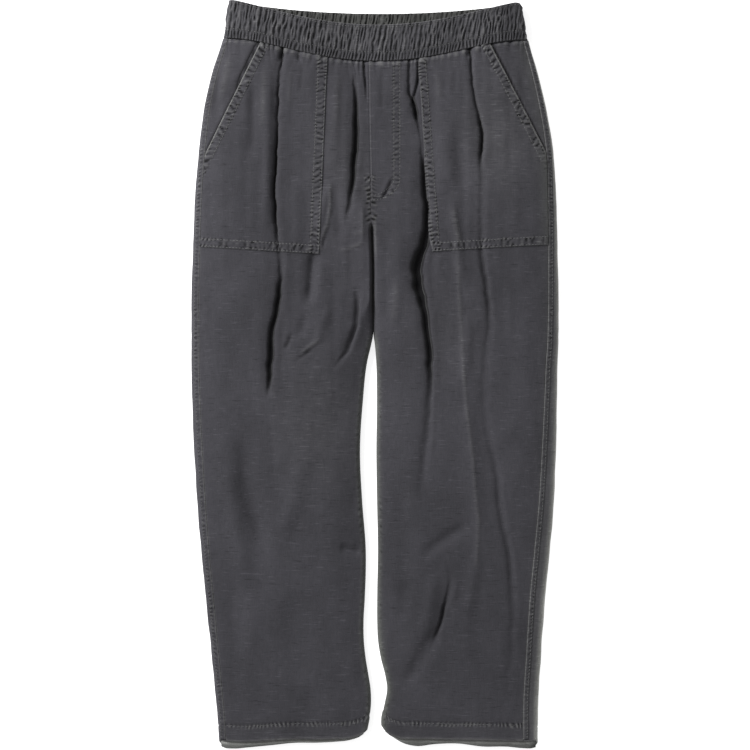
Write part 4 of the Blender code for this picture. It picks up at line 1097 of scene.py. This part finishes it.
def pocket_rows(leg, piece):
    """The two stitch rows along each edge of a pocket, kept inside its other edges."""
    rows = []
    for edge, apart in rows_apart(leg).items():
        for inset in (POCKET_ROW_IN, POCKET_ROW_IN + apart):
            x0, y0, x1, y1 = moved_in(leg, edge, inset)
            ex, ey = (x1 - x0) / 10, (y1 - y0) / 10
            line = between(x0 - ex, y0 - ey, x1 + ex, y1 + ey)
            keep = line[:, 1] < band_edge_y("front", line[:, 0], 0.0) - 0.5
            reach = inset if edge != "mouth" else POCKET_ROW_IN
            for other in rows_apart(leg):
                if other != edge:
                    keep &= within(leg, other, line[:, 0], line[:, 1])[0] > reach - 0.3
            keep &= np.abs(line[:, 0]) < np.abs(seam_x(leg, line[:, 1])) - 0.8
            rows.append(sewn_on(piece, line[keep]))
    return rows


def material(name):
    """A new material with a function that adds nodes: an input takes a value or another node's output."""
    made = bpy.data.materials.new(name)
    made.use_nodes = True
    tree = made.node_tree

    def fill(node, inputs):
        for key, value in inputs.items():
            if isinstance(value, bpy.types.NodeSocket):
                tree.links.new(value, node.inputs[key])
            else:
                node.inputs[key].default_value = value
        return node.outputs

    def add(kind, inputs=None, **settings):
        node = tree.nodes.new("ShaderNode" + kind)
        for key, value in settings.items():
            setattr(node, key, value)
        return fill(node, inputs or {})

    def shade(inputs):
        fill(tree.nodes["Principled BSDF"], inputs)
        return made

    return add, shade


def cloth_finish(name, base, wear_and_highlight, edge):
    """Washed slubby twill: weave bump, slubs, uneven dye, pale wear and painted highlights on ridges, painted
    shade in recesses and folds, and an edge colour: painted light along rims, a greener tone on the band.
    """
    add, shade = material(name)
    where = add("TexCoord")["Object"]

    def stretched(scale, turn=0.0):
        return add("Mapping", {"Scale": scale, "Rotation": (0.0, 0.0, turn), "Vector": where})["Vector"]

    def noise_of(vector, scale, detail, rough):
        inputs = {"Scale": scale, "Detail": detail, "Roughness": rough, "Vector": vector}
        return add("TexNoise", inputs)["Fac"]

    def math_of(kind, a, b):
        return add("Math", {0: a, 1: b}, operation=kind)[0]

    def ranged(value, low, high, to_low, to_high):
        return add("MapRange", {0: value, 1: low, 2: high, 3: to_low, 4: to_high})[0]

    def mixed(factor, a, b, blend="MIX"):
        return add("Mix", {"Factor": factor, 6: a, 7: b}, data_type="RGBA", blend_type=blend)[2]

    slubs = noise_of(stretched((60.0, 620.0, 300.0)), 1.0, 1.5, 0.5)
    threads_down = noise_of(stretched((700.0, 90.0, 400.0)), 1.0, 2.0, 0.6)
    cloud = noise_of(stretched((16.0, 11.0, 20.0)), 1.0, 3.0, 0.55)
    speck = noise_of(where, 800.0, 2.0, 0.6)
    tone = math_of("ADD", ranged(slubs, 0.63, 0.74, 1.0, 1.48), ranged(slubs, 0.26, 0.38, -0.32, 0.0))
    tone = math_of("MULTIPLY", tone, ranged(threads_down, 0.3, 0.7, 0.92, 1.08))
    tone = math_of("MULTIPLY", tone, ranged(cloud, 0.3, 0.7, 0.83, 1.17))
    tone = math_of("MULTIPLY", tone, ranged(speck, 0.25, 0.75, 0.86, 1.14))
    # The first mark pales wear and painted highlights, the second darkens painted shade and the wash's dye
    # patches, and edge mixes in the edge colour, painted light along the panels' rims.
    marks = {key: add("Attribute", attribute_name=key)["Fac"] for key in ("wear_and_highlight", "painted_shade_and_dye", "edge")}
    rubbed = math_of("MULTIPLY", marks["wear_and_highlight"], ranged(slubs, 0.3, 0.7, 0.35, 1.0))
    colour = mixed(ranged(marks["edge"], 0.0, 1.0, 0.0, 1.0), (*base, 1.0), (*edge, 1.0))
    colour = mixed(ranged(rubbed, 0.0, 1.0, 0.0, 0.85), colour, (*wear_and_highlight, 1.0))
    tone = math_of("MULTIPLY", tone, ranged(marks["painted_shade_and_dye"], 0.0, 1.0, 1.0, 0.16))
    grey = add("CombineColor", {0: tone, 1: tone, 2: tone})[0]
    weave = add("TexWave", {
        "Scale": 1.0, "Distortion": 1.2, "Detail": 1.0, "Detail Scale": 0.6,
        "Vector": stretched((350.0, 350.0, 350.0), math.radians(55)),
    }, wave_type="BANDS", bands_direction="X")["Fac"]
    height = math_of("MULTIPLY", weave, 0.35)
    height = math_of("ADD", height, math_of("MULTIPLY", slubs, 0.45))
    height = math_of("ADD", height, math_of("MULTIPLY", speck, 0.5))
    return shade({
        "Roughness": 0.9,
        "Sheen Weight": 0.12,
        "Sheen Roughness": 0.5,
        "Specular IOR Level": 0.25,
        "Base Color": mixed(1.0, colour, grey, "MULTIPLY"),
        "Normal": add("Bump", {"Strength": 0.6, "Distance": 0.0004, "Height": height})["Normal"],
    })


def thread_finish(name, colour):
    """Matt cotton thread with a fine twist."""
    add, shade = material(name)
    where = add("TexCoord")["Object"]
    fade = add("TexNoise", {"Scale": 260.0, "Vector": where})["Fac"]
    ends = [tuple(share * c for c in colour) + (1.0,) for share in (0.6, 1.5)]
    ramp = add("Mix", {"Factor": fade, 6: ends[0], 7: ends[1]}, data_type="RGBA")[2]
    twist = add("TexWave", {"Scale": 900.0, "Vector": where}, wave_type="BANDS", bands_direction="DIAGONAL")
    bump = add("Bump", {"Strength": 0.4, "Distance": 0.0001, "Height": twist["Fac"]})
    return shade({"Roughness": 0.75, "Base Color": ramp, "Normal": bump["Normal"]})


def floor_finish():
    add, shade = material("pale_floor")
    grain = add("TexNoise", {"Scale": 3.0})["Fac"]
    tones = {"Factor": grain, 6: (0.90, 0.90, 0.90, 1.0), 7: (0.92, 0.92, 0.92, 1.0)}
    return shade({
        "Roughness": 0.95,
        "Specular IOR Level": 0.1,
        "Emission Color": (1.0, 1.0, 1.0, 1.0),
        "Emission Strength": 0.7,
        "Base Color": add("Mix", tones, data_type="RGBA")[2],
    })


# The studio, in metres
FLOOR_Z = -0.0004
CAMERA_HEIGHT = 3.008
LIGHT_PLACE = (-2.25, 1.75, 1.95)


def add_studio():
    """Floor, camera, one large soft light from the upper left and an even surround."""
    scene = bpy.context.scene
    mesh = bpy.data.meshes.new("floor")
    corners = [(x, y, FLOOR_Z) for x, y in ((-4, -4), (4, -4), (4, 4), (-4, 4))]
    mesh.from_pydata(corners, [], [(0, 1, 2, 3)])
    mesh.materials.append(floor_finish())
    floor = bpy.data.objects.new("floor", mesh)
    scene.collection.objects.link(floor)

    camera = bpy.data.objects.new("camera", bpy.data.cameras.new("camera"))
    camera.data.lens = 105.0
    camera.data.sensor_width = 36.0
    camera.location = (0.0, 0.0, CAMERA_HEIGHT)
    camera.data.dof.use_dof = False
    scene.collection.objects.link(camera)
    scene.camera = camera

    lamp = bpy.data.lights.new("soft_light", "AREA")
    lamp.shape = "DISK"
    lamp.size = 1.7
    lamp.energy = 152.0
    light = bpy.data.objects.new("soft_light", lamp)
    light.location = LIGHT_PLACE
    light.rotation_euler = (-light.location).to_track_quat("-Z", "Y").to_euler()
    scene.collection.objects.link(light)

    world = bpy.data.worlds.new("surround")
    world.use_nodes = True
    inputs = world.node_tree.nodes["Background"].inputs
    inputs["Color"].default_value = (1.0, 1.0, 1.0, 1.0)
    inputs["Strength"].default_value = 0.38
    scene.world = world
    scene.view_settings.view_transform = "Standard"


# Flat width, length and area in metres, and how each is held
CUTS = {
    "front_panel_left": (0.250, 0.990, 0.223, "laid"),
    "front_panel_right": (0.250, 0.990, 0.228, "laid"),
    "back_panel_left": (0.265, 1.000, 0.253, "laid"),
    "back_panel_right": (0.280, 1.000, 0.269, "laid"),
    "patch_pocket_left": (0.176, 0.288, 0.0435, "laid"),
    "patch_pocket_right": (0.176, 0.288, 0.0426, "laid"),
    "fly_layer": (0.044, 0.196, 0.0084, "laid"),
    "band_front": (0.500, 0.053, 0.0264, "gathered"),
    "band_back": (0.500, 0.053, 0.0262, "gathered"),
}


def cut(piece):
    """Reads the flat size that a piece of cloth is cut to; nothing is done with it."""
    width, length, area, held = CUTS[piece.name]


def settle(piece, nodes=()):
    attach(piece, "root")
    if nodes:
        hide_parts(*nodes)
    return piece


# Name of each cloth, and its colours: plain, pale on wear and painted highlights, and the edge colour. The
# back panels' edge colour is bright painted light along the rims, and the hem inside's cloth is a paler copy,
# painted light in the shadow under the front hem.
FINISHES = (
    ("washed_twill", (0.0468, 0.0455, 0.0530), (0.115, 0.114, 0.116), (0.100, 0.104, 0.096)),
    ("patch_twill", (0.0475, 0.0462, 0.0538), (0.150, 0.149, 0.148), (0.100, 0.104, 0.096)),
    ("band_twill", (0.0490, 0.0478, 0.0550), (0.130, 0.128, 0.130), (0.060, 0.061, 0.057)),
    ("rubbed_twill_painted_rim_light", (0.0468, 0.0455, 0.0530), (0.115, 0.114, 0.116), (0.400, 0.405, 0.380)),
    ("faded_twill", (0.100, 0.102, 0.098), (0.180, 0.180, 0.176), (0.235, 0.238, 0.229)),
)


def main():
    # The fourth cloth dresses the back panels; its edge colour is painted light along the right back's rim.
    twill, patch, gathered, rubbed, pale = (cloth_finish(*row) for row in FINISHES)
    thread = thread_finish("sewing_thread", (0.128, 0.128, 0.128))

    rows = {}
    for leg in ("left", "right"):
        front, front_hem = front_panel(leg, twill)
        back, back_hem = back_panel(leg, rubbed, pale)
        lap = side_lap(leg, patch)
        patch_pocket = pocket(leg, patch)
        settle(front, (f"front_{leg}",))
        settle(back, (f"back_{leg}",))
        settle(front_hem, (f"hem_front_{leg}",))
        settle(back_hem, (f"hem_back_{leg}",))
        settle(lap)
        settle(patch_pocket, (f"pocket_{leg}", f"pocket_mouth_hem_{leg}"))
        cut(back)
        cut(front)
        cut(patch_pocket)
        rows[f"pocket_{leg}"] = pocket_rows(leg, patch_pocket)
        run = np.linspace(451.0, -498.0, 1000)
        base, up = lap_point(leg, LAP_ROW + 0 * run, run)
        lift, _ = lap_relief(LAP_ROW + 0 * run, run)
        rows[f"side_{leg}"] = [(base + (lift + 0.1)[:, None] * up, up)]
        hems, side = [], outward(leg)
        for face, piece, above in (("front", front, True), ("back", back, False)):
            x0 = seam_x(leg, HEM_ROW_Y) - side if above else edge_x(leg, "outer", HEM_ROW_Y) - 6 * side
            x = np.linspace(x0, edge_x(leg, "inner", HEM_ROW_Y) + 4 * side, 240)
            y = hem_edge_y(leg, face, x, END_GUESS + 0 * x) + HEM_DEPTH
            hems.append(sewn_on(piece, np.stack([x, y], 1), above))
        rows[f"hem_{leg}"] = hems
    flap = settle(fly(patch), ("fly",))
    cut(flap)
    rows["fly"] = []
    for inset in FLY_ROWS_IN:
        share = np.linspace(0.0, 1.0, 300)
        x_in = edge_x("right", "inner", FLY_STRAIGHT_TO_Y)
        x, y = fly_edge(share)
        x = x_in + (x - x_in) * (FLY_WIDTH - inset) / FLY_WIDTH
        y = y + inset * 0.8 * ease((FLY_STRAIGHT_TO_Y - y) / 24)
        keep = (y < band_edge_y("front", x, 0.0) - 0.5) & (x > x_in + 1.5)
        rows["fly"].append(sewn_on(flap, np.stack([x[keep], y[keep]], 1)))
    for level in (269.0, 270.1):
        rows["fly"].append(sewn_on(flap, between(-4.4, level, 3.4, level)))
    halves = {}
    for face in ("front", "back"):
        halves[face] = settle(band_half(face, gathered), (f"waistband_{face}",))
        rows[f"band_{face}"] = []
        for share in (BAND_STITCH, BAND_TOP_STITCH):
            x = np.linspace(band("left_x", share) + 4, band("right_x", share) - 4, 460)
            y = band_edge_y(face, x, share)
            rows[f"band_{face}"].append(sewn_on(halves[face], np.stack([x, y], 1), face == "front"))
    cut(halves["back"])
    cut(halves["front"])
    for name, lines in rows.items():
        pitch = HEM_PITCH if name.startswith("hem") else STITCH_PITCH
        settle(threads(f"stitches_{name}", lines, thread, pitch), ())
    add_studio()


main()
